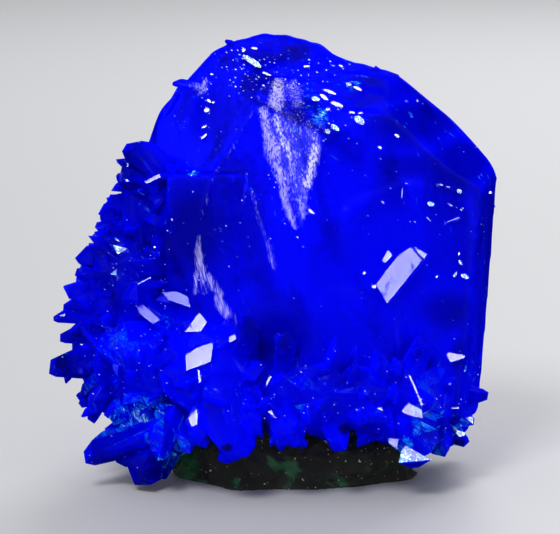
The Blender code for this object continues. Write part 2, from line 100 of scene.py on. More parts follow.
# %% Faces of the great crystal
GREAT_FACES = {
    "front left": ((-0.49, 0.00, 0.87), (-23.4, 50.0, 8.0)),
    "front right": ((0.37, 0.00, 0.93), (40.0, 50.0, 10.0)),
    "right side": ((0.94, -0.09, 0.33), (43.4, 63.0, 1.0)),
    "right back": ((0.90, -0.05, -0.43), (43.2, 60.0, 0.0)),
    "back right": ((0.49, 0.00, -0.87), (36.0, 50.0, -13.0)),
    "back left": ((-0.37, 0.00, -0.93), (-10.0, 50.0, -15.0)),
    "left side": ((-0.97, 0.05, 0.24), (-25.6, 66.0, 0.0)),
    "middle left": ((-0.45, 0.24, 0.86), (4.6, 51.0, 24.0)),
    "upper left": ((-0.65, 0.34, 0.68), (-4.4, 77.4, 12.0)),
    "upper right": ((0.26, 0.26, 0.93), (4.6, 51.0, 24.0)),
    "striated": ((-0.20, 0.35, 0.91), (4.6, 51.0, 24.0)),
    "dome front": ((0.07, 0.75, 0.65), (-4.4, 77.4, 12.0)),
    "dome back": ((0.05, 0.75, -0.66), (0.0, 88.0, -7.0)),
    "upper back": ((-0.20, 0.42, -0.88), (-10.0, 66.0, -17.0)),
    "right corner": ((0.86, 0.51, 0.10), (42.4, 65.0, 0.0)),
    "right slope": ((0.71, 0.69, 0.10), (34.4, 73.8, -2.0)),
    "right slope front": ((0.56, 0.60, 0.57), (30.0, 74.6, 4.0)),
    "right bend": ((0.63, 0.77, 0.08), (26.2, 81.0, -3.0)),
    "right shoulder": ((0.27, 0.96, 0.06), (17.0, 85.0, -4.0)),
    "left slope": ((-0.75, 0.66, 0.08), (-18.5, 82.0, -2.0)),
    "left bevel": ((-0.94, 0.34, 0.05), (-25.0, 73.0, -2.0)),
    "dome left": ((-0.47, 0.88, 0.05), (-11.5, 88.7, -2.0)),
    "dome upper left": ((-0.29, 0.957, 0.05), (-6.6, 90.6, -2.0)),
    "foot": ((0.00, -1.00, 0.00), (0.0, 15.0, 0.0)),
}
CAP_FACES = {
    "cap top left": ((-0.29, 0.957, 0.05), (-6.6, 90.6, -2.0)),
    "cap top": ((0.10, 0.995, 0.05), (-0.8, 91.3, -2.0)),
    "cap top right": ((0.26, 0.965, 0.05), (4.2, 90.4, -2.0)),
    "cap right": ((0.58, 0.81, 0.10), (8.5, 88.4, -2.0)),
    "cap right edge": ((0.80, 0.55, 0.20), (10.4, 86.8, -2.0)),
    "cap front": ((0.09, 0.70, 0.71), (1.0, 89.0, -1.5)),
    "cap front right": ((0.58, 0.60, 0.55), (7.6, 87.4, -0.8)),
    "cap back": ((-0.15, 0.50, -0.85), (-4.0, 89.4, -5.6)),
    "cap left": ((-1.00, 0.00, 0.00), (-8.0, 89.0, -2.0)),
    "cap foot": ((0.00, -1.00, 0.00), (0.0, 82.0, 0.0)),
}
print("faces listed:", len(GREAT_FACES), "for the great crystal,", len(CAP_FACES), "for its cap")

# %% [markdown]
# ## Cutting and collecting
# Every crystal here is made with the same few helpers. One cuts a block by planes, one moves a set
# of faces out by a hair, and the others turn a bmesh into an object or gather several in one.

# %% Cutting a crystal
BLOCK_SIZE = 220.0
BLOCK_MIDDLE = (5.0, 50.0, 0.0)
PROUD = 0.45


def cut_block(planes, size, middle):
    """A closed convex bmesh: a block cut back by planes, each given as point and outward normal."""
    solid = bmesh.new()
    bmesh.ops.create_cube(solid, size=size, matrix=Matrix.Translation(middle))
    for point, normal in planes:
        everything = solid.verts[:] + solid.edges[:] + solid.faces[:]
        cut = bmesh.ops.bisect_plane(
            solid, geom=everything, plane_co=point, plane_no=normal, clear_outer=True, dist=1e-9)
        rim = [part for part in cut["geom_cut"] if isinstance(part, bmesh.types.BMEdge)]
        if rim:
            bmesh.ops.contextual_create(solid, geom=rim)
    bmesh.ops.recalc_face_normals(solid, faces=solid.faces[:])
    return solid


def proud_planes(faces):
    """World planes of a set of faces, moved out by PROUD."""
    planes = []
    for facing, through in faces.values():
        normal = direction(*facing)
        planes.append((place(*through) + normal * PROUD * MM, normal))
    return planes


def as_object(name, solid):
    """An object in the scene made from a bmesh, which is freed."""
    mesh = bpy.data.meshes.new(name)
    solid.to_mesh(mesh)
    solid.free()
    thing = bpy.data.objects.new(name, mesh)
    bpy.context.scene.collection.objects.link(thing)
    return thing


def apply_modifiers(thing):
    """Replace an object's mesh by what its modifiers make of it."""
    bpy.context.view_layer.update()
    graph = bpy.context.evaluated_depsgraph_get()
    mesh = bpy.data.meshes.new_from_object(thing.evaluated_get(graph))
    thing.modifiers.clear()
    thing.data = mesh


def add_solid(body, solid):
    """Put a bmesh into another one beside what it holds, and free it."""
    mesh = bpy.data.meshes.new("added")
    solid.to_mesh(mesh)
    solid.free()
    body.from_mesh(mesh)
    bpy.data.meshes.remove(mesh)


great_planes = proud_planes(GREAT_FACES)
cap_planes = proud_planes(CAP_FACES)
block_middle = place(*BLOCK_MIDDLE)
great = cut_block(great_planes, BLOCK_SIZE * MM, block_middle)
add_solid(great, cut_block(cap_planes, BLOCK_SIZE * MM, block_middle))
print("great crystal and cap:", len(great.faces), "flat faces")

# %% [markdown]
# ## Overgrowths
# On the broad front faces a few younger crystals have spread as thin plates in the same
# orientation. Their edges are the pale outlines that show through the blue. Each plate is an outline
# on its host face, cut as a shallow block that stands a little proud of that face.

# %% Plates on the front faces
PLATE_ROOT = 3.0
PLATES = (
    ("front right", 0.7,
     ((13.0, 56.4), (24.8, 61.6), (37.6, 58.8), (38.0, 38.0), (28.0, 29.0), (12.0, 45.6))),
    ("front right", 1.1, ((9.0, 40.0), (22.6, 39.0), (23.0, 24.0), (10.0, 23.6), (5.6, 28.0), (6.0, 35.4))),
    ("front left", 0.4, ((-22.6, 63.2), (-8.4, 62.8), (-9.0, 38.0), (-22.8, 37.0))),
    ("upper right", 0.5, ((9.8, 71.6), (20.4, 74.4), (17.0, 66.4), (10.6, 66.8))),
)
for host, rise, outline in PLATES:
    through, normal = great_planes[list(GREAT_FACES).index(host)]
    corners = [place(across, up, 0.0) for across, up in outline]
    corners = [corner + TOWARD * (through - corner).dot(normal) / TOWARD.dot(normal) for corner in corners]
    middle = sum(corners, Vector()) / len(corners)
    planes = [(through + normal * rise * MM, normal), (through - normal * PLATE_ROOT * MM, -normal)]
    for first, second in zip(corners, corners[1:] + corners[:1]):
        edge_way = (second - first).cross(normal).normalized()
        planes.append((first, edge_way if (middle - first).dot(edge_way) < 0.0 else -edge_way))
    add_solid(great, cut_block(planes, BLOCK_SIZE * MM, middle))
print("with plates:", len(great.faces), "flat faces")

# %% [markdown]
# ## Worn faces
# Flat faces meeting in knife edges would look like cut glass. On the real one the edges are
# softened, the dome is pitted, and the steep faces carry fine striations that run the long way of
# the crystal. A voxel remesh gives an even skin that can take such relief, a few rounds of
# smoothing round the edges, and then each vertex moves out along its normal by an amount that
# depends on the face it belongs to. Only the crack is sunk in, by less than the skin stands proud,
# so the solid underneath stays covered.

# %% Relief
SKIN_VOXEL = 0.62
EDGE_SMOOTHING = 12
STRIATED_WAY = Vector((0.22, -0.975, 0.0))
DOME_FACES = {"dome front", "dome left", "dome upper left", "dome back", "right shoulder"}
STRIATED_FACES = {"striated", "upper left", "middle left"}
# Depth and length in mm of the swells, dimples and pits, and where the pits' noise starts
SWELLS = (0.30, 13.0)
DIMPLES = (0.05, 2.1)
PITS = (0.34, 2.6)
PIT_START = Vector((9.0, 0.0, 0.0))
STREAK_DEPTH = 0.20
# Ridges per mm across and along, and where their noise starts
FINE_RIDGES = (0.95, 0.055, 3.0)
BROAD_RIDGES = (0.33, 0.03, 8.0)
# Lines in the front faces, as points in across and up: a crack that is sunk in, and thin ribs
CRACK = ((-4.8, 77.6), (2.2, 74.6), (9.2, 71.4))
RIBS = (
    ((-4.4, 77.4), (-8.0, 70.4), (-9.6, 68.0), (-12.4, 64.0), (-14.4, 59.0), (-15.4, 55.4)),
    ((-4.5, 77.8), (-3.4, 80.6), (-1.2, 82.2)),
    ((31.4, 61.0), (35.4, 59.6)),
    ((33.0, 53.4), (36.0, 54.4)),
)
CRACK_DEPTH = 0.34
CRACK_WIDTH = 0.7
RIB_HEIGHT = 0.22
RIB_WIDTH = 0.6

skin = as_object("great crystal", great)
remesh = skin.modifiers.new("skin", "REMESH")
remesh.mode = "VOXEL"
remesh.voxel_size = SKIN_VOXEL * MM
apply_modifiers(skin)
print("even skin:", len(skin.data.vertices), "vertices")

# %% [markdown]
# ## How far each face moves out
# A point of the skin belongs to the face whose plane lies furthest out there. The dome is pitted
# and the steep faces are ridged. The crack and the ribs are lines on the front, so they are
# measured as the eye sees them.

# %% Height of the skin
face_names = list(GREAT_FACES)


def nearest_face(point):
    """The name of the great crystal's face whose plane lies furthest out at a point of the skin."""
    depths = [(point - through).dot(normal) for through, normal in great_planes]
    return face_names[depths.index(max(depths))]


def ridges(spot, spacing):
    """Noise drawn out along the striations at a front-view point."""
    along = spot.dot(STRIATED_WAY)
    sideways = spot.x * STRIATED_WAY.y - spot.y * STRIATED_WAY.x
    return noise.noise(Vector((sideways * spacing[0], along * spacing[1], spacing[2])))


def striation(spot):
    """Ridges along the crystal's length, from about 0 to 1, at a front-view point."""
    return 0.5 + 0.35 * ridges(spot, FINE_RIDGES) + 0.3 * ridges(spot, BROAD_RIDGES)


def near_line(spot, line, width):
    """How close a front-view point lies to a line of points, from 0 at a width away to 1 on it."""
    closest = width
    here = Vector((spot.x, spot.y))
    for first, second in zip(line, line[1:]):
        start = Vector(first)
        run = Vector(second) - start
        share = min(1.0, max(0.0, (here - start).dot(run) / run.length_squared))
        closest = min(closest, (here - start - run * share).length)
    return 1.0 - closest / width


def relief(spot, name):
    """How far the skin of a face moves out at a front-view point, in mm."""
    height = SWELLS[0] * (0.5 + 0.5 * noise.noise(spot / SWELLS[1]))
    height += DIMPLES[0] * (0.5 + 0.5 * noise.noise(spot / DIMPLES[1]))
    if name in DOME_FACES:
        height += PITS[0] * max(0.0, 0.5 + 0.9 * noise.noise(spot / PITS[1] + PIT_START))
    elif name in STRIATED_FACES:
        height += STREAK_DEPTH * max(0.0, striation(spot))
    if spot.z > 0.0:
        height -= CRACK_DEPTH * near_line(spot, CRACK, CRACK_WIDTH)
        height += RIB_HEIGHT * max(near_line(spot, rib, RIB_WIDTH) for rib in RIBS)
    return height


# %% [markdown]
# ## Wearing the skin
# The edges are rounded first. All moves are worked out before the first vertex moves, so that
# every one is measured on the same skin.

# %% Worn skin
worn = bmesh.new()
worn.from_mesh(skin.data)
for _ in range(EDGE_SMOOTHING):
    bmesh.ops.smooth_vert(
        worn, verts=worn.verts[:], factor=0.5, use_axis_x=True, use_axis_y=True, use_axis_z=True)
worn.normal_update()
moves = []
for vert in worn.verts:
    moves.append(vert.normal * relief(seen_from_front(vert.co), nearest_face(vert.co)) * MM)
for vert, move in zip(worn.verts, moves):
    vert.co += move
worn.to_mesh(skin.data)
print("worn skin:", len(worn.verts), "vertices")
worn.free()

# %% [markdown]
# ## Where the bright faces are
# Some tablets of the crust flash white with one flat face. The eye goes to them first, so each one
# has its own outline as seen from the front. They are made last, but known first, so that no fine
# blade grows in front of one.

# %% Outlines of the bright faces
# Tablets that show one bright face: lustre, share of cyan in it (a painted glint colour), and corners as
# across and up
TABLETS = (
    (0.62, 0.0, ((19.0, 41.1), (20.6, 43.4), (23.6, 47.1), (25.9, 48.5), (28.0, 45.9), (21.1, 37.4))),
    (0.8, 0.0, ((26.6, 48.7), (29.1, 47.1), (28.5, 46.3), (27.3, 47.4))),
    (1.0, 0.0, ((21.4, 47.9), (22.2, 46.9), (20.8, 45.4), (20.1, 45.9))),
    (0.95, 0.0, ((-18.6, 27.2), (-16.2, 28.8), (-13.1, 29.8), (-13.5, 26.1), (-18.3, 24.3))),
    (1.0, 0.0, ((-18.8, 31.8), (-15.9, 35.6), (-14.4, 33.7), (-15.7, 31.8))),
    (0.4, 0.1, ((-29.0, 38.1), (-27.5, 37.4), (-23.8, 34.1), (-25.2, 33.3), (-27.8, 35.3))),
    (0.42, 0.0, ((-23.4, 39.5), (-20.6, 39.7), (-18.4, 38.7), (-17.9, 36.6), (-22.2, 38.0))),
    (0.5, 1.0, ((-33.4, 49.0), (-30.3, 48.3), (-32.5, 47.1))),
    (0.85, 0.0, ((-27.3, 61.7), (-24.3, 63.4), (-24.0, 62.6), (-26.8, 61.4))),
    (1.0, 0.0, ((33.2, 27.0), (33.5, 27.6), (36.8, 27.0), (36.6, 26.5), (33.9, 25.6))),
    (0.8, 0.4, ((23.9, 16.1), (25.4, 17.8), (27.9, 16.4), (28.1, 14.8), (26.1, 15.2))),
    (1.0, 0.0, ((-17.9, 15.0), (-16.5, 16.6), (-16.1, 15.8), (-16.2, 13.6), (-17.4, 13.4))),
    (1.0, 0.0, ((-2.3, 16.2), (-2.0, 17.2), (-0.8, 15.0))),
    (0.9, 0.0, ((-10.0, 30.9), (-8.8, 31.4), (-8.6, 30.4), (-9.9, 29.8))),
    (0.9, 0.2, ((25.3, 23.3), (25.7, 23.1), (28.1, 17.7), (27.8, 17.2))),
    (1.0, 0.3, ((-16.2, 24.4), (-15.8, 24.4), (-15.4, 22.1), (-15.9, 21.9))),
    (1.0, 0.1, ((-2.5, 23.8), (-1.7, 23.1), (-2.8, 20.9))),
    (1.0, 0.2, ((18.8, 17.0), (19.9, 17.3), (20.1, 16.5))),
    (0.9, 0.7, ((36.9, 14.6), (38.5, 14.8), (38.4, 13.4))),
    (0.9, 0.3, ((33.7, 16.5), (35.5, 16.9), (35.5, 16.4))),
    (0.8, 0.9, ((34.5, 12.2), (36.9, 11.6), (36.8, 10.9), (35.7, 10.7))),
    (0.6, 0.9, ((23.3, 6.2), (23.8, 8.4), (24.7, 9.5), (29.7, 6.8))),
    (0.6, 0.2, ((21.2, 10.9), (23.2, 10.9), (22.9, 9.0), (21.4, 10.0))),
    (0.4, 0.5, ((-33.8, 43.2), (-32.6, 44.1), (-32.6, 42.9))),
    (0.6, 0.3, ((-28.9, 41.1), (-25.6, 42.7), (-25.6, 42.4), (-28.7, 40.8))),
    (0.8, 0.0, ((-44.2, 34.9), (-43.1, 35.2), (-43.0, 34.6))),
)
TABLET_CLEARANCE = 0.8


def outline_circle(outline):
    """The middle of an outline, as across and up, and how far its corners reach from there."""
    across = sum(corner[0] for corner in outline) / len(outline)
    up = sum(corner[1] for corner in outline) / len(outline)
    return across, up, max(math.hypot(x - across, y - up) for x, y in outline)


tablet_circles = [outline_circle(outline) for _, _, outline in TABLETS]

# %% [markdown]
# ## The finest crystals of the crust
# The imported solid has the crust's lumps and its larger crystals. Between them the real crust
# bristles with blades a millimetre or two wide. Each is cut from a small block by a few planes, at
# angles that all crystals of the mineral share, and its root is sunk in the crust. They are spread
# by drawing places on the crust's own surface, larger facets more often than small ones.

# %% Fine blades
FINE_COUNT = 300
FINE_BREADTH = (1.3, 3.0)
FINE_FLATNESS = (0.4, 0.75)
FINE_REACH = (0.6, 2.3)
FINE_ROOT = 2.6
FINE_LEAN = 0.6
FINE_HIGHEST = 68.0
FINE_SEED = 5
RAY_START = 100.0
SIDE_TURNS = (0.0, 76.0)
TIP_FACES = ((64.0, 12.0), (60.0, 192.0), (58.0, 98.0))
TIP_STEP = 0.12
CLEAR_OF_GREAT = 0.5
LOWEST_TIP = 1.2
# Blades given one by one to close a gap at the lower left: root and tip as across and up, how much
# nearer the tip is, and breadth
SET_BLADES = (
    ((-29.4, 17.4), (-34.4, 14.8), 1.0, 4.0),
    ((-26.4, 15.8), (-32.6, 12.6), 1.5, 4.8),
    ((-24.0, 16.4), (-28.6, 12.4), 3.0, 4.6),
    ((-22.4, 13.6), (-25.8, 10.2), 2.5, 3.8),
)
SET_ROOT = 3.0

crust = bpy.data.objects.new("crystal_group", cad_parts["crystals"].data.copy())
bpy.context.scene.collection.objects.link(crust)
merged = bmesh.new()
merged.from_mesh(crust.data)
bmesh.ops.remove_doubles(merged, verts=merged.verts[:], dist=1e-7)
merged.to_mesh(crust.data)
print("packed crystals:", len(merged.faces), "faces, closed:", all(e.is_manifold for e in merged.edges))
packed_surface = BVHTree.FromBMesh(merged)
open_planes = [(place(*through), direction(*facing)) for facing, through in GREAT_FACES.values()]

# %% [markdown]
# ## One blade
# A blade is a root, a tip and the way its broad face looks. Its flanks stand at the mineral's own
# angle, and three slanting faces close the tip.

# %% A blade


def blade(root, tip, broad, breadth, thickness):
    """A small crystal from root to tip, with its broad face turned toward broad."""
    axis = (tip - root).normalized()
    out = (broad - axis * broad.dot(axis)).normalized()
    side = axis.cross(out)
    planes = []
    for turn in SIDE_TURNS:
        angle = math.radians(turn)
        facing = out * math.cos(angle) + side * math.sin(angle)
        reach = thickness / 2 if turn == 0.0 else breadth / 2 * math.sin(angle)
        planes.append((root + facing * reach, facing))
        planes.append((root - facing * reach, -facing))
    for number, (lean, turn) in enumerate(TIP_FACES):
        sideways = out * math.cos(math.radians(turn)) + side * math.sin(math.radians(turn))
        facing = axis * math.cos(math.radians(lean)) + sideways * math.sin(math.radians(lean))
        planes.append((tip - axis * number * TIP_STEP * thickness, facing))
    planes.append((root, -axis))
    return cut_block(planes, 3.0 * ((tip - root).length + breadth), root)


def depth_in_great(point):
    """How far inside the great crystal a world point lies, in mm. It is negative outside."""
    return -max((point - through).dot(normal) for through, normal in open_planes) / MM


def before_bright_face(spot):
    """Whether a front-view point lies in front of one of the faces that must stay bare."""
    for across, up, reach in tablet_circles:
        if spot.z > 0.0 and math.hypot(spot.x - across, spot.y - up) < reach + TABLET_CLEARANCE:
            return True
    return False


# %% [markdown]
# ## Spreading the blades
# A fixed seed gives the same crust each time. A blade is left out if its tip would end inside the
# great crystal, too near the shelf, too high up, or in front of a bright face.

# %% Blades on the crust
rng = random.Random(FINE_SEED)
facets = [face for face in merged.faces if depth_in_great(face.calc_center_median()) < -CLEAR_OF_GREAT]
areas = [face.calc_area() for face in facets]
fine = bmesh.new()
placed = 0
for face in rng.choices(facets, weights=areas, k=FINE_COUNT):
    corners = [vert.co for vert in face.verts]
    first, second = sorted((rng.random(), rng.random()))
    foot = corners[0] * first + corners[1] * (second - first) + corners[2] * (1.0 - second)
    lean = Vector([rng.uniform(-FINE_LEAN, FINE_LEAN) for _ in range(3)])
    outward = (face.normal + lean).normalized()
    reach = rng.uniform(*FINE_REACH) * MM
    breadth = rng.uniform(*FINE_BREADTH) * MM
    thickness = breadth * rng.uniform(*FINE_FLATNESS)
    broad = Vector([rng.uniform(-1.0, 1.0) for _ in range(3)])
    tip = foot + outward * reach
    spot = seen_from_front(tip)
    if tip.z < LOWEST_TIP * MM or spot.y > FINE_HIGHEST:
        continue
    if depth_in_great(tip) > 0.0 or before_bright_face(spot):
        continue
    small = blade(foot - outward * FINE_ROOT * MM, tip, broad, breadth, thickness)
    add_solid(fine, small)
    placed += 1
for root_spot, tip_spot, nearer, breadth in SET_BLADES:
    hit = packed_surface.ray_cast(place(*root_spot, RAY_START), -TOWARD)[0]
    root = hit - TOWARD * SET_ROOT * MM
    tip = place(*tip_spot, seen_from_front(hit).z + nearer)
    add_solid(fine, blade(root, tip, TOWARD, breadth * MM, breadth * FINE_FLATNESS[1] * MM))
print("fine blades:", placed, "and set by hand:", len(SET_BLADES))
fine_crystals = as_object("fine crystals", fine)
merged.free()

# %% [markdown]
# ## Growing together
# Crystals that have grown into each other are one body, and in see-through material this matters:
# a skin left inside would show as a ghost. Boolean unions melt them together. The fine crystals
# cross one another, which only the exact solver can take. The Manifold solver then joins the great
# crystal's skin, because it is quick and keeps the body closed.

# %% One body
SEED_SIZE = 0.1
SEED_DEPTH = 0.4


def unite(body, other, solver, self_crossing=False):
    """Join another closed object to a body, and remove it."""
    union = body.modifiers.new("union", "BOOLEAN")
    union.operation = "UNION"
    union.solver = solver
    union.object = other
    if solver == "EXACT":
        union.use_self = self_crossing
    apply_modifiers(body)
    bpy.data.objects.remove(other)


def unite_self(thing):
    """Melt the crossing closed pieces of one object together, by joining it to a block it swallows."""
    largest = max(thing.data.polygons, key=lambda face: face.area)
    inside = largest.center - largest.normal * SEED_DEPTH * MM
    seed = bmesh.new()
    bmesh.ops.create_cube(seed, size=SEED_SIZE * MM, matrix=Matrix.Translation(inside))
    unite(thing, as_object("seed", seed), "EXACT", self_crossing=True)


unite(crust, fine_crystals, "EXACT", self_crossing=True)
print("fine crystals joined:", len(crust.data.polygons), "faces")
unite(crust, skin, "MANIFOLD")
print("skin joined:", len(crust.data.polygons), "faces")

# %% [markdown]
# ## Bright faces
# Here and there a tablet lies with its one broad face turned the same way as its neighbours', and
# in the right light all of them flash together, because crystals of one mineral keep their angles.
# They are cut last and set on the finished surface, found by rays from the viewer's side, just far
# enough out that the whole face shows. Small oval flecks on the great crystal do the same.

# %% Places of the flecks
BRIGHT_FACING = direction(-0.14, 0.31, 0.94)
TABLET_THICKNESS = 8.5
TABLET_RISE = 0.15
TABLET_RISE_MOST = 5.5
TABLET_FLARE = 0.12
TABLET_BLOCK = 40.0
# Flecks: small oval facets, each as across, up, length, breadth and heading
FLECKS = (
    (-5.5, 85.7, 4.6, 1.1, -37), (-7.3, 88.4, 0.9, 0.6, -60), (-5.1, 88.8, 1.2, 0.5, -15),
    (-3.9, 90.0, 0.8, 0.4, -20), (5.5, 84.9, 1.3, 0.5, 0), (12.4, 85.1, 1.0, 0.4, -25),
    (10.7, 85.3, 0.8, 0.3, -10), (7.2, 78.0, 1.7, 0.9, -15), (9.6, 75.9, 0.8, 0.6, 0),
    (8.9, 78.3, 1.9, 0.8, -40), (11.4, 76.9, 2.6, 0.8, -25), (10.0, 79.6, 2.8, 0.6, -25),
    (14.3, 75.2, 1.2, 0.5, -10), (16.0, 75.1, 1.0, 0.4, 0), (15.8, 73.6, 2.4, 1.3, -40),
    (9.4, 71.3, 1.2, 0.9, -40), (10.9, 72.1, 2.0, 0.9, -40), (13.8, 81.2, 1.1, 0.8, -20),
    (15.6, 80.3, 1.9, 0.6, -30), (23.3, 70.6, 1.1, 0.5, -35), (19.9, 68.2, 0.8, 0.4, -40),
    (6.2, 55.4, 1.5, 0.5, -40), (25.5, 77.8, 0.6, 0.3, -30), (27.8, 78.0, 0.7, 0.3, -40),
    (-2.6, 83.3, 2.0, 0.4, -25), (16.7, 43.3, 0.6, 0.5, 0), (18.6, 40.6, 0.9, 0.7, 0),
    (36.0, 45.3, 1.2, 0.5, -60), (34.9, 43.0, 1.4, 0.5, 60), (36.9, 42.5, 1.7, 0.9, -30),
    (30.0, 56.9, 1.4, 0.9, -30), (35.8, 59.4, 1.1, 0.8, -40), (42.4, 59.3, 0.8, 0.5, -40),
    (32.1, 60.8, 0.9, 0.3, -20), (33.5, 60.4, 0.8, 0.3, -20), (33.9, 56.8, 1.4, 0.3, -35),
    (34.5, 53.8, 2.6, 0.25, 20), (24.2, 59.2, 2.2, 0.25, 88), (25.2, 61.0, 0.8, 0.3, -35),
    (29.6, 53.9, 1.2, 0.25, -50), (20.4, 57.2, 0.9, 0.3, -40), (35.7, 47.1, 0.6, 0.35, 88),
    (-14.7, 76.1, 1.1, 0.9, 0), (-14.3, 78.0, 1.0, 0.5, -55), (-13.4, 77.6, 0.5, 0.4, 0),
    (-15.2, 72.7, 1.0, 0.4, 30), (-15.2, 70.7, 1.5, 0.5, 45), (-13.8, 83.5, 0.6, 0.5, 0),
    (-30.5, 65.0, 1.0, 0.5, 80), (-30.6, 61.8, 0.8, 0.5, -30), (-32.5, 49.9, 1.2, 0.4, -35),
    (37.1, 24.1, 1.4, 0.5, 75), (34.3, 20.3, 1.0, 0.4, -45), (33.6, 21.4, 0.7, 0.3, -45),
    (5.2, 13.8, 0.8, 0.4, 10), (-4.7, 29.0, 0.4, 0.3, 0), (31.2, 42.6, 0.6, 0.4, 60),
    (-17.3, 59.5, 0.7, 0.3, 90), (-21.6, 54.0, 0.9, 0.3, -50), (-25.0, 48.4, 0.6, 0.4, -40),
)
# Places of flecks whose glint is partly painted cyan, as across, up and reach
CYAN_PLACES = (
    (7.2, 78.0, 1.0), (9.4, 71.3, 0.8), (10.9, 72.1, 1.2), (15.8, 73.6, 1.4), (36.9, 42.5, 1.2),
    (30.0, 56.9, 0.9), (35.8, 59.4, 0.8), (13.8, 81.2, 0.8), (-5.5, 85.7, 2.6), (-30.5, 65.0, 0.8),
    (-30.6, 61.8, 0.8), (-32.5, 49.9, 0.9), (34.9, 43.0, 1.0), (36.0, 45.3, 0.9), (31.2, 42.6, 0.6),
    (37.1, 24.1, 0.9),
)
# Lustre and cyan of a white fleck, of a cyan one and of one so thin that it is only a faint line
WHITE_FLECK = (0.7, 0.0)
CYAN_FLECK = (0.35, 0.9)
THIN_FLECK = (0.25, 0.1)
THIN_BREADTH = 0.3
TABLET_SHINE = 0.46
FLECK_SIDES = 10
FLECK_RISE = 0.12
print("flecks listed:", len(FLECKS))

# %% [markdown]
# ## Cutting a bright face
# A tablet's top has the outline that the eye sees, laid into the plane of its face along the line
# of sight. Its flanks fall away behind it, so that no side of it shows. A fleck is an oval of ten
# short sides, and the steeper the surface it sits on, the further out it has to stand.

# %% Tablets and flecks


def facet_axes(heading):
    """The two directions in a bright face that a heading in degrees gives."""
    along = ACROSS * math.cos(math.radians(heading)) + UP * math.sin(math.radians(heading))
    along = (along - BRIGHT_FACING * along.dot(BRIGHT_FACING)).normalized()
    return along, BRIGHT_FACING.cross(along)


def facet_ends(middle):
    """Planes of the top and the sunk end of a bright facet."""
    return [(middle, BRIGHT_FACING), (middle - BRIGHT_FACING * TABLET_THICKNESS * MM, -BRIGHT_FACING)]


def surface_depth(across, up):
    """How far out along BRIGHT_FACING the surface lies behind a front-view point, or None."""
    hit = grown_surface.ray_cast(place(across, up, RAY_START), -TOWARD)[0]
    return None if hit is None else hit.dot(BRIGHT_FACING)


def tablet_depth(outline, circle):
    """The depth at which a tablet's face clears the surface under most of its outline."""
    middle_depth = surface_depth(circle[0], circle[1])
    depths = [middle_depth]
    for (x0, y0), (x1, y1) in zip(outline, outline[1:] + outline[:1]):
        depths.append(surface_depth(x0, y0))
        depths.append(surface_depth((x0 + x1) / 2, (y0 + y1) / 2))
    highest = max(depth for depth in depths if depth is not None)
    return min(highest + TABLET_RISE * MM, middle_depth + TABLET_RISE_MOST * MM)


def tablet(outline, depth):
    """A crystal that shows one bright face with a given outline. Its flanks fall away out of sight."""
    corners = [place(across, up, 0.0) for across, up in outline]
    slope = TOWARD.dot(BRIGHT_FACING)
    corners = [corner + TOWARD * (depth - corner.dot(BRIGHT_FACING)) / slope for corner in corners]
    middle = sum(corners, Vector()) / len(corners)
    planes = facet_ends(middle)
    for first, second in zip(corners, corners[1:] + corners[:1]):
        edge_way = (second - first).cross(BRIGHT_FACING).normalized()
        outward = edge_way if (middle - first).dot(edge_way) < 0.0 else -edge_way
        planes.append((first, outward - BRIGHT_FACING * TABLET_FLARE))
    return cut_block(planes, TABLET_BLOCK * MM, middle)


def fleck(hit, normal, length, breadth, heading):
    """A small oval facet that stands just far enough out of a tilted surface to show whole."""
    along, side = facet_axes(heading)
    downhill = normal - BRIGHT_FACING * normal.dot(BRIGHT_FACING)
    reach = abs(along.dot(downhill)) * length / 2 + abs(side.dot(downhill)) * breadth / 2
    rise = FLECK_RISE + reach / max(0.5, normal.dot(BRIGHT_FACING))
    middle = hit + BRIGHT_FACING * rise * MM
    planes = facet_ends(middle)
    for number in range(FLECK_SIDES):
        turn = math.tau * number / FLECK_SIDES
        rim = along * math.cos(turn) * length / 2 + side * math.sin(turn) * breadth / 2
        facing = along * math.cos(turn) / length + side * math.sin(turn) / breadth
        planes.append((middle + rim * MM, facing.normalized()))
    return cut_block(planes, TABLET_BLOCK * MM, middle)


# %% [markdown]
# ## Setting the bright faces
# Rays from the viewer's side find the finished surface behind each face. All tablets and flecks
# are first melted together, because some of them touch, and then joined to the group in one go.

# %% Bright faces on the group
grown = bmesh.new()
grown.from_mesh(crust.data)
grown_surface = BVHTree.FromBMesh(grown)
grown.free()
tablets = bmesh.new()
for (_, _, outline), circle in zip(TABLETS, tablet_circles):
    if surface_depth(circle[0], circle[1]) is None:
        print("no surface for a tablet at", circle[:2])
    else:
        add_solid(tablets, tablet(outline, tablet_depth(outline, circle)))
for across, up, *shape in FLECKS:
    hit, normal = grown_surface.ray_cast(place(across, up, RAY_START), -TOWARD)[:2]
    if hit:
        add_solid(tablets, fleck(hit, normal, *shape))
    else:
        print("no surface for a fleck at", across, up)
bright_facets = as_object("bright facets", tablets)
unite_self(bright_facets)
unite(crust, bright_facets, "MANIFOLD")
print("tablets and flecks joined:", len(crust.data.polygons), "faces")
crystals = crust

# %% [markdown]
# ## Crisp edges
# Worn faces pass softly into each other, but the small crystals are fresh and sharp. So the whole
# skin is shaded smooth, except across edges where two faces meet at a clear angle.

# %% Crisp and soft edges
SHARP_ANGLE = 24.0
crystals.data.shade_smooth()
crystals.data.set_sharp_from_angle(angle=math.radians(SHARP_ANGLE))
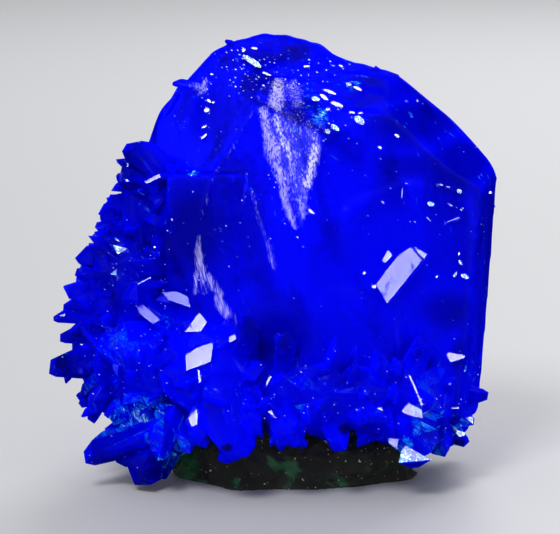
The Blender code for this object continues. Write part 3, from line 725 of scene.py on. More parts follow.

# %% [markdown]
# ## Where the surface differs
# Several finishes share this one mineral: bright fresh faces, etched bands whose pale lilac is partly
# frosting and partly painted sheen, broken places whose cyan is partly frosting and partly painted
# glint, and skin pricked with specks whose white is painted glint. Some parts also carry painted
# shade or painted light in their blue. A material can only tell them apart if the mesh does, so the
# mesh carries a number from 0 to 1 for each: lustre and how fractured and glinting for whole faces,
# and etching, speck glints, painted shade and painted light for points, which blend softly from one
# to the next.

# %% Bands
# Etched bands: the strength, then points along the band as across, up and half width
ETCHED_BANDS = (
    (1.0, ((-3.4, 75.6, 0.9), (-2.6, 71.6, 0.8), (-1.4, 67.6, 1.4), (-0.8, 64.8, 0.9), (0.6, 61.8, 1.1))),
    (0.95, ((0.6, 61.8, 1.0), (0.8, 58.6, 0.7), (1.8, 55.0, 0.6), (3.2, 52.0, 0.3))),
    (0.8, ((-0.8, 74.4, 0.8), (1.0, 68.0, 0.7))),
    (0.65, ((1.6, 69.0, 0.6), (2.6, 61.4, 0.6))),
    (0.9, ((7.0, 68.2, 1.0), (5.4, 60.6, 0.8))),
    (0.6, ((4.8, 62.0, 0.6), (5.0, 57.8, 0.5))),
    (0.6, ((3.8, 58.2, 0.7), (4.0, 55.6, 0.5))),
    (0.5, ((5.6, 72.4, 1.4), (7.4, 68.4, 1.2))),
    (0.45, ((1.4, 73.4, 3.2), (3.4, 62.0, 2.2), (4.4, 55.0, 0.9))),
    (1.0, ((-0.4, 81.2, 1.1), (-0.8, 77.6, 1.5), (-0.2, 76.4, 0.8))),
    (0.55, ((2.6, 80.6, 1.6), (3.4, 77.2, 1.2))),
    (1.0, ((-16.1, 50.6, 0.3), (-16.4, 47.9, 0.6), (-15.9, 45.2, 0.9), (-15.1, 42.0, 0.5))),
    (0.7, ((-16.4, 44.7, 0.4), (-16.9, 41.7, 0.4), (-16.9, 39.3, 0.4))),
    (0.7, ((-15.5, 41.8, 0.4), (-14.8, 39.4, 0.4))),
    (0.85, ((-14.3, 42.8, 0.6), (-13.2, 40.7, 0.9), (-11.9, 39.3, 0.6))),
    (0.95, ((-12.4, 38.8, 0.6), (-11.6, 36.7, 1.0), (-10.5, 35.1, 0.7))),
    (0.5, ((-10.0, 36.4, 0.4), (-8.6, 33.2, 0.4))),
    (0.45, ((-6.0, 60.0, 0.5), (-1.0, 45.0, 0.7))),
    (0.8, ((-15.4, 84.2, 0.5), (-15.4, 80.6, 0.6), (-16.2, 79.8, 0.4))),
)
RIB_ETCHING = 0.35
print("etched bands:", len(ETCHED_BANDS))

# %% [markdown]
# ## Broken, speckled, shaded and lit places
# The other differences have no sharp outline, so each is a soft oval. The dim and lit ones are
# painted shade and painted light: they stand for what goes on inside the real crystal, where flaws
# and far faces darken or brighten it.

# %% Soft places
# Each as across, up, two half sizes and a strength: broken places (partly painted glint), places
# of speck glints (painted), then places of painted shade
FRACTURED_AND_GLINTING_SPOTS = (
    (-27.6, 14.6, 4.8, 3.8, 0.9),
    (-20.6, 8.6, 3.4, 3.4, 0.9),
    (30.4, 13.6, 3.4, 1.8, 0.7),
    (25.6, 8.0, 5.4, 2.2, 1.0),
    (35.6, 12.6, 2.6, 3.0, 0.9),
    (5.4, 79.0, 1.7, 2.4, 0.7),
    (7.8, 75.4, 1.6, 2.4, 0.75),
    (14.0, 81.4, 2.6, 1.4, 0.6),
    (3.4, 71.4, 1.0, 0.9, 0.7),
    (19.2, 15.0, 0.8, 1.1, 0.8),
    (-7.9, 22.6, 0.5, 1.6, 0.7),
    (4.1, 17.9, 0.4, 1.9, 0.7),
    (-9.9, 13.8, 0.4, 1.2, 0.6),
    (-18.0, 17.3, 1.6, 0.5, 0.6),
    (-17.6, 63.6, 1.0, 0.8, 0.7),
    (-40.2, 44.5, 1.0, 1.0, 0.5),
    (29.6, 16.2, 3.0, 1.0, 0.6),
    (-21.6, 33.6, 3.0, 2.0, 0.4),
    (-31.0, 29.0, 7.0, 5.0, 0.18),
    (-35.0, 21.0, 5.0, 5.0, 0.2),
    (-27.0, 23.0, 5.0, 3.0, 0.2),
    (-16.0, 20.6, 4.0, 3.0, 0.16),
    (19.0, 21.0, 6.0, 3.0, 0.2),
    (29.0, 22.0, 5.0, 4.0, 0.18),
    (6.0, 21.0, 5.0, 3.0, 0.16),
)
# Painted glints: places where the white specks are thickest
SPECK_GLINT_SPOTS = (
    (-6.0, 85.0, 9.0, 5.0, 0.95),
    (4.0, 83.6, 7.0, 2.6, 0.6),
    (-15.2, 80.0, 1.6, 6.0, 0.7),
    (-18.0, 64.0, 1.4, 1.4, 0.7),
    (40.2, 51.6, 1.8, 2.0, 0.8),
    (9.6, 74.0, 4.0, 3.6, 0.4),
    (-4.0, 56.0, 8.0, 10.0, 0.14),
    (33.0, 55.0, 7.0, 6.0, 0.22),
    (-30.0, 34.0, 14.0, 22.0, 0.15),
    (-29.0, 24.0, 9.0, 7.0, 0.22),
    (14.0, 18.0, 30.0, 9.0, 0.16),
)
SPECK_GLINTS_ELSEWHERE = 0.04
# Painted shade: places where the blue is lowered, as if less light came back out of the crystal
PAINTED_SHADE_SPOTS = (
    (-17.0, 52.0, 7.5, 10.5, 0.95),
    (-15.6, 42.0, 6.0, 6.0, 0.5),
    (25.6, 64.6, 6.4, 2.4, 0.6),
    (28.0, 74.0, 10.0, 5.0, 0.95),
    (37.0, 66.0, 7.0, 6.0, 0.95),
    (20.0, 80.0, 9.0, 4.0, 0.75),
    (43.0, 58.0, 3.0, 5.0, 0.85),
    (0.0, 87.0, 12.0, 3.4, 0.5),
    (-14.0, 75.0, 6.0, 7.0, 0.6),
    (-1.0, 31.0, 8.0, 7.0, 0.75),
    (12.0, 23.6, 4.6, 3.0, 0.6),
    (33.0, 36.0, 5.0, 3.4, 0.7),
    (-33.0, 46.0, 8.0, 10.0, 0.7),
    (-30.0, 62.0, 5.0, 7.0, 0.8),
    (-44.0, 30.0, 5.0, 9.0, 0.8),
    (43.4, 46.0, 3.2, 22.0, 1.0),
    (-27.0, 4.0, 6.0, 4.0, 1.0),
    (-36.0, 9.0, 5.0, 4.0, 0.6),
    (28.0, 10.5, 5.0, 3.0, 0.45),
    (-40.0, 22.0, 5.0, 6.0, 0.4),
)
# Painted light: places where the blue is lifted, as if more light came back out of the crystal
PAINTED_LIGHT_SPOTS = (
    (22.0, 49.0, 12.0, 10.0, 0.85),
    (13.0, 59.0, 6.0, 8.0, 0.8),
    (30.0, 38.0, 11.0, 9.0, 0.85),
    (30.0, 64.0, 9.0, 3.0, 0.35),
    (-7.0, 52.0, 6.0, 9.0, 0.4),
    (-8.0, 24.0, 13.0, 9.0, 0.9),
    (10.0, 14.0, 16.0, 6.0, 0.9),
    (-1.0, 50.0, 5.0, 10.0, 0.6),
    (32.0, 21.0, 8.0, 6.0, 0.6),
    (-24.0, 25.0, 9.0, 6.0, 0.55),
)
print("soft places:", len(FRACTURED_AND_GLINTING_SPOTS + SPECK_GLINT_SPOTS + PAINTED_SHADE_SPOTS + PAINTED_LIGHT_SPOTS))

# %% [markdown]
# ## Lines, hollows and notches
# The crack and the hollow ends of some crystals get painted shade, because light that goes in there
# doesn't come back out. Notches are bites out of the largest bright face. All of them are small, so
# a mark in the finish is enough.

# %% Small marks
# Lines of painted shade, as points in across and up: the crack, and the edge of the plate on the left
PAINTED_SHADE_LINES = (
    CRACK,
    ((-23.2, 42.0), (-23.2, 63.4), (-8.0, 63.4)),
)
PAINTED_SHADE_LINE_WIDTH = 0.9
# Hollow crystal ends, with painted shade in their middles: across, up, two half sizes
SHADED_HOLLOWS = (
    (-13.4, 9.6, 1.0, 1.0),
    (-10.3, 9.4, 1.5, 1.1),
    (12.8, 12.8, 1.9, 1.3),
    (-2.8, 13.4, 1.3, 2.8),
    (-43.6, 26.0, 2.0, 2.6),
    (36.0, 9.4, 1.6, 1.0),
)
# Notches in the largest bright face, given the same way
NOTCHES = (
    (21.1, 40.7, 0.6, 0.9),
    (20.4, 39.2, 0.8, 0.7),
    (26.2, 44.4, 0.5, 0.9),
)
print("dark lines, hollows and notches:", len(PAINTED_SHADE_LINES), len(SHADED_HOLLOWS), len(NOTCHES))

# %% [markdown]
# ## From places to numbers
# Each helper tells how much of a band or a spot reaches a point as the eye sees it. The numbers
# are worked out once for every vertex or face and kept on the mesh as named attributes.

# %% How far a place reaches
BAND_REACH = 1.6
SPOT_REACH = 1.5


def band_share(spot, band):
    """How much of an etched band's strength reaches a front-view point."""
    strength, line = band
    most = 0.0
    for (x0, y0, w0), (x1, y1, w1) in zip(line, line[1:]):
        run = Vector((x1 - x0, y1 - y0))
        offset = Vector((spot.x - x0, spot.y - y0))
        share = min(1.0, max(0.0, offset.dot(run) / run.length_squared))
        distance = (offset - run * share).length
        width = w0 + (w1 - w0) * share
        most = max(most, 1.0 - (distance / (BAND_REACH * width)) ** 2)
    return strength * most


def spot_share(spot, places):
    """The most that any of a list of places gives to a front-view point."""
    most = 0.0
    for across, up, half_across, half_up, strength in places:
        distance = math.hypot((spot.x - across) / half_across, (spot.y - up) / half_up)
        most = max(most, strength * min(1.0, max(0.0, SPOT_REACH - distance)))
    return most


def etching(spot):
    """How strongly a front-view point is etched, from 0 to 1."""
    bands = max(band_share(spot, band) for band in ETCHED_BANDS)
    ribs = max(near_line(spot, rib, RIB_WIDTH) for rib in RIBS)
    return max(bands, RIB_ETCHING * ribs)


# %% [markdown]
# ## What each point carries
# Bands, speck glints and painted light were placed as seen from the front, so the back doesn't get
# them. Only the painted shade goes right through, as flaws inside the crystal do.

# %% Masks of the points
etched = []
speck_glint_share = []
painted_shade = []
painted_light = []
for vert in crystals.data.vertices:
    spot = seen_from_front(vert.co)
    in_front = spot.z > 0.0
    etched.append(etching(spot) if in_front else 0.0)
    speck_glint_share.append(max(SPECK_GLINTS_ELSEWHERE, spot_share(spot, SPECK_GLINT_SPOTS) if in_front else 0.0))
    along_line = max(near_line(spot, line, PAINTED_SHADE_LINE_WIDTH) for line in PAINTED_SHADE_LINES) if in_front else 0.0
    painted_shade.append(max(along_line, spot_share(spot, PAINTED_SHADE_SPOTS)))
    painted_light.append(spot_share(spot, PAINTED_LIGHT_SPOTS) if in_front else 0.0)

# %% [markdown]
# ## Which face flashes
# A face is bright if it looks the common way and lies within one of the tablets or flecks. Its
# finish is that of the nearest one. How fractured the other faces are varies from facet to facet.

# %% Masks of the faces
BRIGHT_ANGLE = math.radians(2.0)
FACET_SPREAD = (0.45, 0.8)
FACET_CELLS = 3.0
# Size in mm of the patches in which facets are fractured alike
FACET_PATCH = 3.0


def fleck_finish(across, up, breadth):
    """Lustre and cyan of the fleck at a place."""
    if breadth <= THIN_BREADTH:
        return THIN_FLECK
    is_cyan = any(math.hypot(across - x, up - y) < reach for x, y, reach in CYAN_PLACES)
    return CYAN_FLECK if is_cyan else WHITE_FLECK


# Each bright face as across, up, reach, lustre and cyan
bright_faces = []
for (shine, cyan, _), circle in zip(TABLETS, tablet_circles):
    bright_faces.append(circle + (shine * TABLET_SHINE, cyan))
for across, up, length, breadth, _ in FLECKS:
    bright_faces.append((across, up, length) + fleck_finish(across, up, breadth))


def bright_face_at(spot):
    """The bright face that a front-view point belongs to, or None."""
    def distance(entry):
        return math.hypot(spot.x - entry[0], spot.y - entry[1]) / entry[2]

    nearest = min(bright_faces, key=distance)
    return nearest if distance(nearest) <= 1.0 else None


lustre = []
fractured_and_glinting = []
for face in crystals.data.polygons:
    spot = seen_from_front(face.center)
    share = 0.0
    flash = 0.0
    if spot.z > 0.0:
        share = spot_share(spot, FRACTURED_AND_GLINTING_SPOTS)
    if share:
        lot = noise.cell(face.normal * FACET_CELLS + spot / FACET_PATCH)
        share *= FACET_SPREAD[0] + FACET_SPREAD[1] * lot
    if spot.z > 0.0 and face.normal.angle(BRIGHT_FACING) < BRIGHT_ANGLE:
        found = bright_face_at(spot)
        if found:
            flash, share = found[3:]
            face.use_smooth = False
    lustre.append(flash)
    fractured_and_glinting.append(share)
for name, domain, values in (
    ("etched", "POINT", etched), ("speck_glint_share", "POINT", speck_glint_share), ("painted_shade", "POINT", painted_shade),
    ("painted_light", "POINT", painted_light), ("fractured_and_glinting", "FACE", fractured_and_glinting), ("lustre", "FACE", lustre),
):
    mask = crystals.data.attributes.new(name, "FLOAT", domain)
    mask.data.foreach_set("value", values)
print("lustre in all:", round(sum(lustre), 1), "mean etching:", round(sum(etched) / len(etched), 4))

# %% [markdown]
# ## The blue
# Light that enters chalcanthite keeps its blue and loses nearly all else. Two settings say so: the
# base colour tints each passage through the surface, and an absorption volume takes more red and
# green the further a ray goes, so thick parts are no paler than thin ones. The reflection at a
# face is tinted blue as well, and a clear coat, strong only on the bright faces, gives the white
# flash. The next cells build the finish in layers, with a few helpers that make the nodes.

# %% Node helpers


def named_material(name):
    """A new material with its node tree and its Principled shader."""
    made = bpy.data.materials.new(name)
    made.use_nodes = True
    return made, made.node_tree, made.node_tree.nodes["Principled BSDF"]


def math_node(tree, operation, first, second, clamp=True):
    """A Math node of two sockets or numbers, kept between 0 and 1 if clamped. Returns its output."""
    node = tree.nodes.new("ShaderNodeMath")
    node.operation = operation
    node.use_clamp = clamp
    for socket, value in zip(node.inputs, (first, second)):
        if isinstance(value, (int, float)):
            socket.default_value = value
        else:
            tree.links.new(value, socket)
    return node.outputs[0]


def mix_colour(tree, share, first, second):
    """A colour mixed from two sockets or colours by a share. Returns its output."""
    node = tree.nodes.new("ShaderNodeMix")
    node.data_type = "RGBA"
    tree.links.new(share, node.inputs["Factor"])
    for socket, value in ((node.inputs[6], first), (node.inputs[7], second)):
        if isinstance(value, tuple):
            socket.default_value = value
        else:
            tree.links.new(value, socket)
    return node.outputs[2]


def soft_step(tree, value, low, high):
    """A value made to run from 0 at low to 1 at high. Returns its output."""
    node = tree.nodes.new("ShaderNodeMapRange")
    node.interpolation_type = "SMOOTHSTEP"
    tree.links.new(value, node.inputs["Value"])
    node.inputs["From Min"].default_value = low
    node.inputs["From Max"].default_value = high
    return node.outputs["Result"]


def noise_at(tree, vector, scale, detail=2.0, distortion=0.0):
    """A noise value at a vector socket. Returns its output."""
    node = tree.nodes.new("ShaderNodeTexNoise")
    tree.links.new(vector, node.inputs["Vector"])
    node.inputs["Scale"].default_value = scale
    node.inputs["Detail"].default_value = detail
    node.inputs["Distortion"].default_value = distortion
    return node.outputs["Fac"]


def attribute(tree, name):
    """A mesh attribute's value. Returns its output."""
    node = tree.nodes.new("ShaderNodeAttribute")
    node.attribute_name = name
    return node.outputs["Fac"]


# %% [markdown]
# ## Patterns in space
# Noise is the same in all directions, but a crystal isn't: it grows faster one way, and is etched
# along that way too. So a pattern's coordinates are first measured along directions of the crystal,
# each with its own scale. In the same way an oval is a circle measured with two scales.

# %% Pattern helpers
SPOT_STEP = (0.0, 0.45)


def dot_product(tree, vector, axis):
    """How far a vector socket reaches along an axis, in lengths of that axis. Returns its output."""
    node = tree.nodes.new("ShaderNodeVectorMath")
    node.operation = "DOT_PRODUCT"
    tree.links.new(vector, node.inputs[0])
    node.inputs[1].default_value = axis
    return node.outputs["Value"]


def near_point(tree, vector, unevenness, across, up, half_across, half_up):
    """A soft uneven oval as seen from the front, 1 in its middle and 0 outside. Returns its output."""
    middle = place(across, up, 0.0)
    squares = []
    for axis, half in ((ACROSS, half_across), (UP, half_up)):
        along = dot_product(tree, vector, axis / (half * MM))
        offset = math_node(tree, "SUBTRACT", along, middle.dot(axis) / (half * MM), clamp=False)
        squares.append(math_node(tree, "MULTIPLY", offset, offset, clamp=False))
    inside = math_node(tree, "SUBTRACT", 1.0, math_node(tree, "ADD", *squares))
    return soft_step(tree, math_node(tree, "MULTIPLY", inside, unevenness), *SPOT_STEP)


def drawn_out(tree, vector, way, sideways_scale, along_scale, depth_scale=None):
    """Coordinates that run fast across a direction and slowly along it. Returns their output."""
    sideways = way.cross(TOWARD).normalized()
    scales = (sideways_scale, along_scale, depth_scale or sideways_scale)
    parts = tree.nodes.new("ShaderNodeCombineXYZ")
    for number, (axis, scale) in enumerate(zip((sideways, way, TOWARD), scales)):
        tree.links.new(dot_product(tree, vector, axis * scale), parts.inputs[number])
    return parts.outputs["Vector"]


def streaked_noise(tree, vector, way, scales, detail, distortion=0.0):
    """Noise drawn out along a direction. Returns its output."""
    return noise_at(tree, drawn_out(tree, vector, way, *scales), 1.0, detail, distortion)


# %% [markdown]
# ## The material
# The material starts with its three blues, the place of each point, and the two directions that
# its patterns follow: the way the great crystal grew, and one slantwise across it.

# %% Chalcanthite
DEEP_BLUE = (0.0, 0.0, 0.28, 1.0)
BRIGHT_BLUE = (0.0003, 0.001, 1.0, 1.0)
PAINTED_SHADE_BLUE = (0.0, 0.0, 0.17, 1.0)
UNEVEN_SCALE = 900.0

blue, tree, shader = named_material("chalcanthite_blue")
where = tree.nodes.new("ShaderNodeTexCoord").outputs["Object"]
unevenness = noise_at(tree, where, UNEVEN_SCALE)
growth_way = direction(STRIATED_WAY.x, STRIATED_WAY.y, 0.0)
dash_way = direction(0.85, -0.53, 0.0)

# %% [markdown]
# ## Veils and flaws
# Clouds of tiny bubbles and healed cracks inside the crystal send more or less light back. Here a
# noise drawn out along the crystal, with a finer one added, chooses between a deep and a bright
# blue. Then painted light lifts it and painted shade lowers it where this specimen looks lighter or
# darker, and painted shade darkens the middles of the hollow crystal ends.

# %% Veils
CLOUD_SCALES = (85.0, 40.0)
CLOUD_SHARE = 0.9
MOTTLING_SCALE = 620.0
MOTTLING_SHARE = 0.16
VEIL_STEP = (0.36, 0.58)
PAINTED_SHADE_STRENGTH = 0.85

clouds = streaked_noise(tree, where, growth_way, CLOUD_SCALES, 4.0, 0.6)
mottling = math_node(tree, "MULTIPLY", noise_at(tree, where, MOTTLING_SCALE, 3.0), MOTTLING_SHARE)
veils = math_node(tree, "ADD", math_node(tree, "MULTIPLY", clouds, CLOUD_SHARE), mottling)
body_blue = mix_colour(tree, soft_step(tree, veils, *VEIL_STEP), DEEP_BLUE, BRIGHT_BLUE)
# Painted light lifts the blue where the crystal looks lighter
body_blue = mix_colour(tree, attribute(tree, "painted_light"), body_blue, BRIGHT_BLUE)
# Painted shade lowers the blue where the crystal looks darker, and in the hollow crystal ends
painted_shade_amount = math_node(tree, "MULTIPLY", attribute(tree, "painted_shade"), PAINTED_SHADE_STRENGTH)
for shaded_hollow in SHADED_HOLLOWS:
    painted_shade_amount = math_node(tree, "MAXIMUM", painted_shade_amount, near_point(tree, where, unevenness, *shaded_hollow))
body_blue = mix_colour(tree, painted_shade_amount, body_blue, PAINTED_SHADE_BLUE)

# %% [markdown]
# ## Growth lines
# Thin pale lines run along the crystal and slantwise across it, where its growth stopped and went
# on. A noise that is stretched a long way in one direction gives such lines when only its highest
# crests are kept, and a second noise breaks them up.

# %% Growth lines
LINE_BLUE = (0.03, 0.14, 1.0, 1.0)
LINE_SCALES = (1300.0, 70.0)
LINE_STEP = (0.71, 0.77)
LINE_STRENGTH = 0.6
BREAK_SCALE = 170.0
BREAK_STEP = (0.50, 0.62)

broken_up = soft_step(tree, noise_at(tree, where, BREAK_SCALE), *BREAK_STEP)
strength = math_node(tree, "MULTIPLY", broken_up, LINE_STRENGTH)
for way in (growth_way, dash_way):
    scratches = streaked_noise(tree, where, way, LINE_SCALES, 1.0)
    line = math_node(tree, "MULTIPLY", soft_step(tree, scratches, *LINE_STEP), strength)
    body_blue = mix_colour(tree, line, body_blue, LINE_BLUE)

# %% [markdown]
# ## Etched bands
# Water that ran down the crystal has etched bands into it, and their fine fibres frost them; the
# pale lilac laid on them is partly that frosting and partly a painted sheen of the light on the
# fibres. Coarse and fine streaks together decide where the sheen shows: the stronger the etching,
# the lower the crest that carries it. The middle of a band is covered with fine grain.

# %% Etched sheen
COARSE_SCALES = (1100.0, 90.0)
COARSE_SHARE = 0.45
FINE_SCALES = (3200.0, 420.0)
FINE_SHARE = 0.55
CREST_NEEDED = 0.62
CREST_EASED = 0.26
CREST_GAIN = 4.0
BAND_EDGE = (0.0, 0.25)
BAND_CORE = (0.3, 0.9)
GRAIN_STEP = (0.38, 0.58)
GRAIN_STRENGTH = 0.8

etching_share = attribute(tree, "etched")
coarse = streaked_noise(tree, where, growth_way, COARSE_SCALES, 2.0)
fine_streaks = streaked_noise(tree, where, growth_way, FINE_SCALES, 3.0)
coarse = math_node(tree, "MULTIPLY", coarse, COARSE_SHARE)
streaks = math_node(tree, "ADD", coarse, math_node(tree, "MULTIPLY", fine_streaks, FINE_SHARE))
needed = math_node(tree, "SUBTRACT", CREST_NEEDED, math_node(tree, "MULTIPLY", etching_share, CREST_EASED))
over = math_node(tree, "MULTIPLY", math_node(tree, "SUBTRACT", streaks, needed), CREST_GAIN)
sheen = math_node(tree, "MULTIPLY", over, soft_step(tree, etching_share, *BAND_EDGE))
grain = math_node(tree, "MULTIPLY", soft_step(tree, fine_streaks, *GRAIN_STEP), GRAIN_STRENGTH)
core = math_node(tree, "MULTIPLY", soft_step(tree, etching_share, *BAND_CORE), grain)
sheen = math_node(tree, "MAXIMUM", sheen, core)

# %% [markdown]
# ## Broken places
# Where the crust has been crushed, a tangle of small cracks frosts it and their faces glint; the
# azure to pale cyan laid on it is partly that frosting and partly painted glint. A soft haze and fine
# threads in two directions add up to it. They show as far as the face is fractured.

# %% Broken places
HAZE_SCALE = 260.0
HAZE_STEP = (0.34, 0.66)
HAZE_SHARE = 0.55
THREAD_SCALES = (2300.0, 330.0)
THREAD_STEP = (0.55, 0.68)
THREAD_SHARE = 0.6

haze = soft_step(tree, noise_at(tree, where, HAZE_SCALE, 4.0, 0.8), *HAZE_STEP)
crackle = math_node(tree, "MULTIPLY", haze, HAZE_SHARE)
for way in (growth_way, dash_way):
    threads = soft_step(tree, streaked_noise(tree, where, way, THREAD_SCALES, 2.0, 0.9), *THREAD_STEP)
    crackle = math_node(tree, "ADD", crackle, math_node(tree, "MULTIPLY", threads, THREAD_SHARE))
cracks_and_glints = math_node(tree, "MULTIPLY", attribute(tree, "fractured_and_glinting"), crackle)

# %% [markdown]
# ## Specks with painted glints
# Grains and pinholes prick the skin, and the white and pale blue dots laid on them are painted
# glints of their small faces. Each cell of a Voronoi pattern may hold one dot, and the cell's own
# random colour says three things about it: red whether it is there, green how small it is, and blue
# how white. The more speckled a place is, the more cells pass.

# %% Specks
SPECK_SCALES = (2000.0, 1050.0, 500.0)
SPECK_SHRINKING = 1.6
SPECK_STEP = (0.70, 0.78)
SPECK_GAIN = 20.0

dots = tree.nodes.new("ShaderNodeTexVoronoi")
tree.links.new(drawn_out(tree, where, dash_way, *SPECK_SCALES), dots.inputs["Vector"])
dots.inputs["Scale"].default_value = 1.0
lots = tree.nodes.new("ShaderNodeSeparateColor")
tree.links.new(dots.outputs["Color"], lots.inputs["Color"])
shrinking = math_node(tree, "MULTIPLY", lots.outputs["Green"], SPECK_SHRINKING, clamp=False)
shrinking = math_node(tree, "ADD", shrinking, 1.0, clamp=False)
rim_distance = math_node(tree, "MULTIPLY", dots.outputs["Distance"], shrinking)
inside = soft_step(tree, math_node(tree, "SUBTRACT", 1.0, rim_distance), *SPECK_STEP)
chosen = math_node(tree, "SUBTRACT", attribute(tree, "speck_glint_share"), lots.outputs["Red"])
speck_glints = math_node(tree, "MULTIPLY", inside, math_node(tree, "MULTIPLY", chosen, SPECK_GAIN))

# %% [markdown]
# ## Flash of the bright faces
# A fresh face is a mirror, but not a perfect one. Fine hatching dulls it a little, pits and
# notches take pieces out of it, and what is left is how strong the clear coat is there.

# %% Flash
HATCH_SCALES = (3800.0, 700.0)
HATCH_STEP = (0.3, 0.6)
HATCH_SHARE = 0.34
PIT_SCALE = 2200.0
PIT_STEP = (0.58, 0.66)
PITTED_SCALE = 330.0
PITTED_STEP = (0.46, 0.60)
PIT_SHARE = 0.7

hatch_way = direction(-0.35, 0.94, 0.0)
hatching = soft_step(tree, streaked_noise(tree, where, hatch_way, HATCH_SCALES, 2.0), *HATCH_STEP)
hatched = math_node(tree, "ADD", 1.0 - HATCH_SHARE, math_node(tree, "MULTIPLY", hatching, HATCH_SHARE))
pits = soft_step(tree, noise_at(tree, where, PIT_SCALE), *PIT_STEP)
pitted = soft_step(tree, noise_at(tree, where, PITTED_SCALE), *PITTED_STEP)
pits = math_node(tree, "MULTIPLY", pits, pitted)
for notch in NOTCHES:
    pits = math_node(tree, "MAXIMUM", pits, near_point(tree, where, unevenness, *notch))
whole = math_node(tree, "SUBTRACT", hatched, math_node(tree, "MULTIPLY", pits, PIT_SHARE))
flash = math_node(tree, "MULTIPLY", attribute(tree, "lustre"), whole)

# %% [markdown]
# ## Colour of the skin
# The finishes lie over the body's blue in the order in which they formed: first the etching, whose
# lilac is partly painted sheen, then the broken places, from azure to pale cyan and partly painted
# glint, then the specks, whose white is painted glint.

# %% Colour
LILAC_FROST_AND_SHEEN = (0.48, 0.45, 0.78, 1.0)
LILAC_FROST_AND_SHEEN_SHARE = 0.82
AZURE_FROST_AND_GLINT = (0.0, 0.24, 1.0, 1.0)
AZURE_STEP = (0.05, 0.45)
PALE_CYAN_FROST_AND_GLINT = (0.50, 0.85, 1.0, 1.0)
CYAN_STEP = (0.4, 0.9)
SPECK_GLINT_WHITE = (0.70, 0.76, 1.0, 1.0)
SPECK_GLINT_BLUE = (0.16, 0.24, 1.0, 1.0)

colour = mix_colour(tree, math_node(tree, "MULTIPLY", sheen, LILAC_FROST_AND_SHEEN_SHARE), body_blue, LILAC_FROST_AND_SHEEN)
colour = mix_colour(tree, soft_step(tree, cracks_and_glints, *AZURE_STEP), colour, AZURE_FROST_AND_GLINT)
colour = mix_colour(tree, soft_step(tree, cracks_and_glints, *CYAN_STEP), colour, PALE_CYAN_FROST_AND_GLINT)
speck_glint_tone = mix_colour(tree, lots.outputs["Blue"], SPECK_GLINT_BLUE, SPECK_GLINT_WHITE)
colour = mix_colour(tree, speck_glints, colour, speck_glint_tone)
tree.links.new(colour, shader.inputs["Base Color"])

# %% [markdown]
# ## Clear and frosted
# Part of the light goes straight through the crystal and part is scattered back by its veils, so
# the shader is only partly glass. Etching, cracks and specks frost it. At a grazing angle rough
# glass would turn white along the rims, which the real crystal doesn't, so there the glass gives
# way to the body's own blue.

# %% Clearness, roughness and gloss
CLEARNESS = 0.46
GRAZING_STEP = (0.20, 0.46)
ROUGHNESS = 0.16
CLOUDY_ROUGHNESS = 0.14
CLOUDY_SCALE = 60.0
CLOUDY_STEP = (0.3, 0.7)
FROSTED_ROUGHNESS = 0.4
SHEEN_GLOSS = 0.25
BROKEN_GLOSS = 0.3
LEAST_GLOSS = 0.005

grazing = tree.nodes.new("ShaderNodeLayerWeight")
grazing.inputs["Blend"].default_value = 0.5
steep = soft_step(tree, grazing.outputs["Facing"], *GRAZING_STEP)
frosted = math_node(tree, "MAXIMUM", math_node(tree, "MAXIMUM", sheen, cracks_and_glints), speck_glints)
lost = math_node(tree, "MULTIPLY", math_node(tree, "MAXIMUM", frosted, steep), CLEARNESS)
tree.links.new(math_node(tree, "SUBTRACT", CLEARNESS, lost), shader.inputs["Transmission Weight"])
cloudy = soft_step(tree, noise_at(tree, where, CLOUDY_SCALE, 3.0), *CLOUDY_STEP)
rough = math_node(tree, "ADD", ROUGHNESS, math_node(tree, "MULTIPLY", cloudy, CLOUDY_ROUGHNESS))
frost = math_node(tree, "MULTIPLY", frosted, FROSTED_ROUGHNESS)
tree.links.new(math_node(tree, "MAXIMUM", rough, frost), shader.inputs["Roughness"])
gloss = math_node(tree, "MAXIMUM", flash, math_node(tree, "MULTIPLY", sheen, SHEEN_GLOSS))
gloss = math_node(tree, "MAXIMUM", gloss, math_node(tree, "MULTIPLY", cracks_and_glints, BROKEN_GLOSS))
tree.links.new(math_node(tree, "MAXIMUM", gloss, LEAST_GLOSS), shader.inputs["Coat Weight"])

# %% [markdown]
# ## What is the same all over
# Values that don't change over the surface stand on the shader's own sockets, so that an export
# keeps them. The volume takes what red and green are left, within a few millimetres, and a slight
# bump stands for ripples that are too fine for the mesh.

# %% The rest of the finish
CRYSTAL_IOR = 1.53
MIRROR_TINT = (0.02, 0.03, 1.0, 1.0)
COAT_IOR = 1.6
COAT_ROUGHNESS = 0.04
SCATTER_REACH = 3.0
SCATTER_SHARES = (0.1, 0.1, 1.0)
ABSORBED = (0.0, 0.03, 0.999, 1.0)
ABSORPTION = 600.0
RIPPLE_SCALES = (900.0, 160.0)
RIPPLE_HEIGHT = 0.2
RIPPLE_STRENGTH = 0.25

shader.inputs["IOR"].default_value = CRYSTAL_IOR
shader.inputs["Specular Tint"].default_value = MIRROR_TINT
shader.inputs["Specular IOR Level"].default_value = 0.0
shader.inputs["Subsurface Weight"].default_value = 1.0
shader.inputs["Subsurface Radius"].default_value = SCATTER_SHARES
shader.inputs["Subsurface Scale"].default_value = SCATTER_REACH * MM
shader.inputs["Coat Roughness"].default_value = COAT_ROUGHNESS
shader.inputs["Coat IOR"].default_value = COAT_IOR
bump = tree.nodes.new("ShaderNodeBump")
bump.inputs["Strength"].default_value = RIPPLE_STRENGTH
bump.inputs["Distance"].default_value = RIPPLE_HEIGHT * MM
tree.links.new(streaked_noise(tree, where, growth_way, RIPPLE_SCALES, 3.0), bump.inputs["Height"])
tree.links.new(bump.outputs["Normal"], shader.inputs["Normal"])
absorb = tree.nodes.new("ShaderNodeVolumeAbsorption")
absorb.inputs["Color"].default_value = ABSORBED
absorb.inputs["Density"].default_value = ABSORPTION
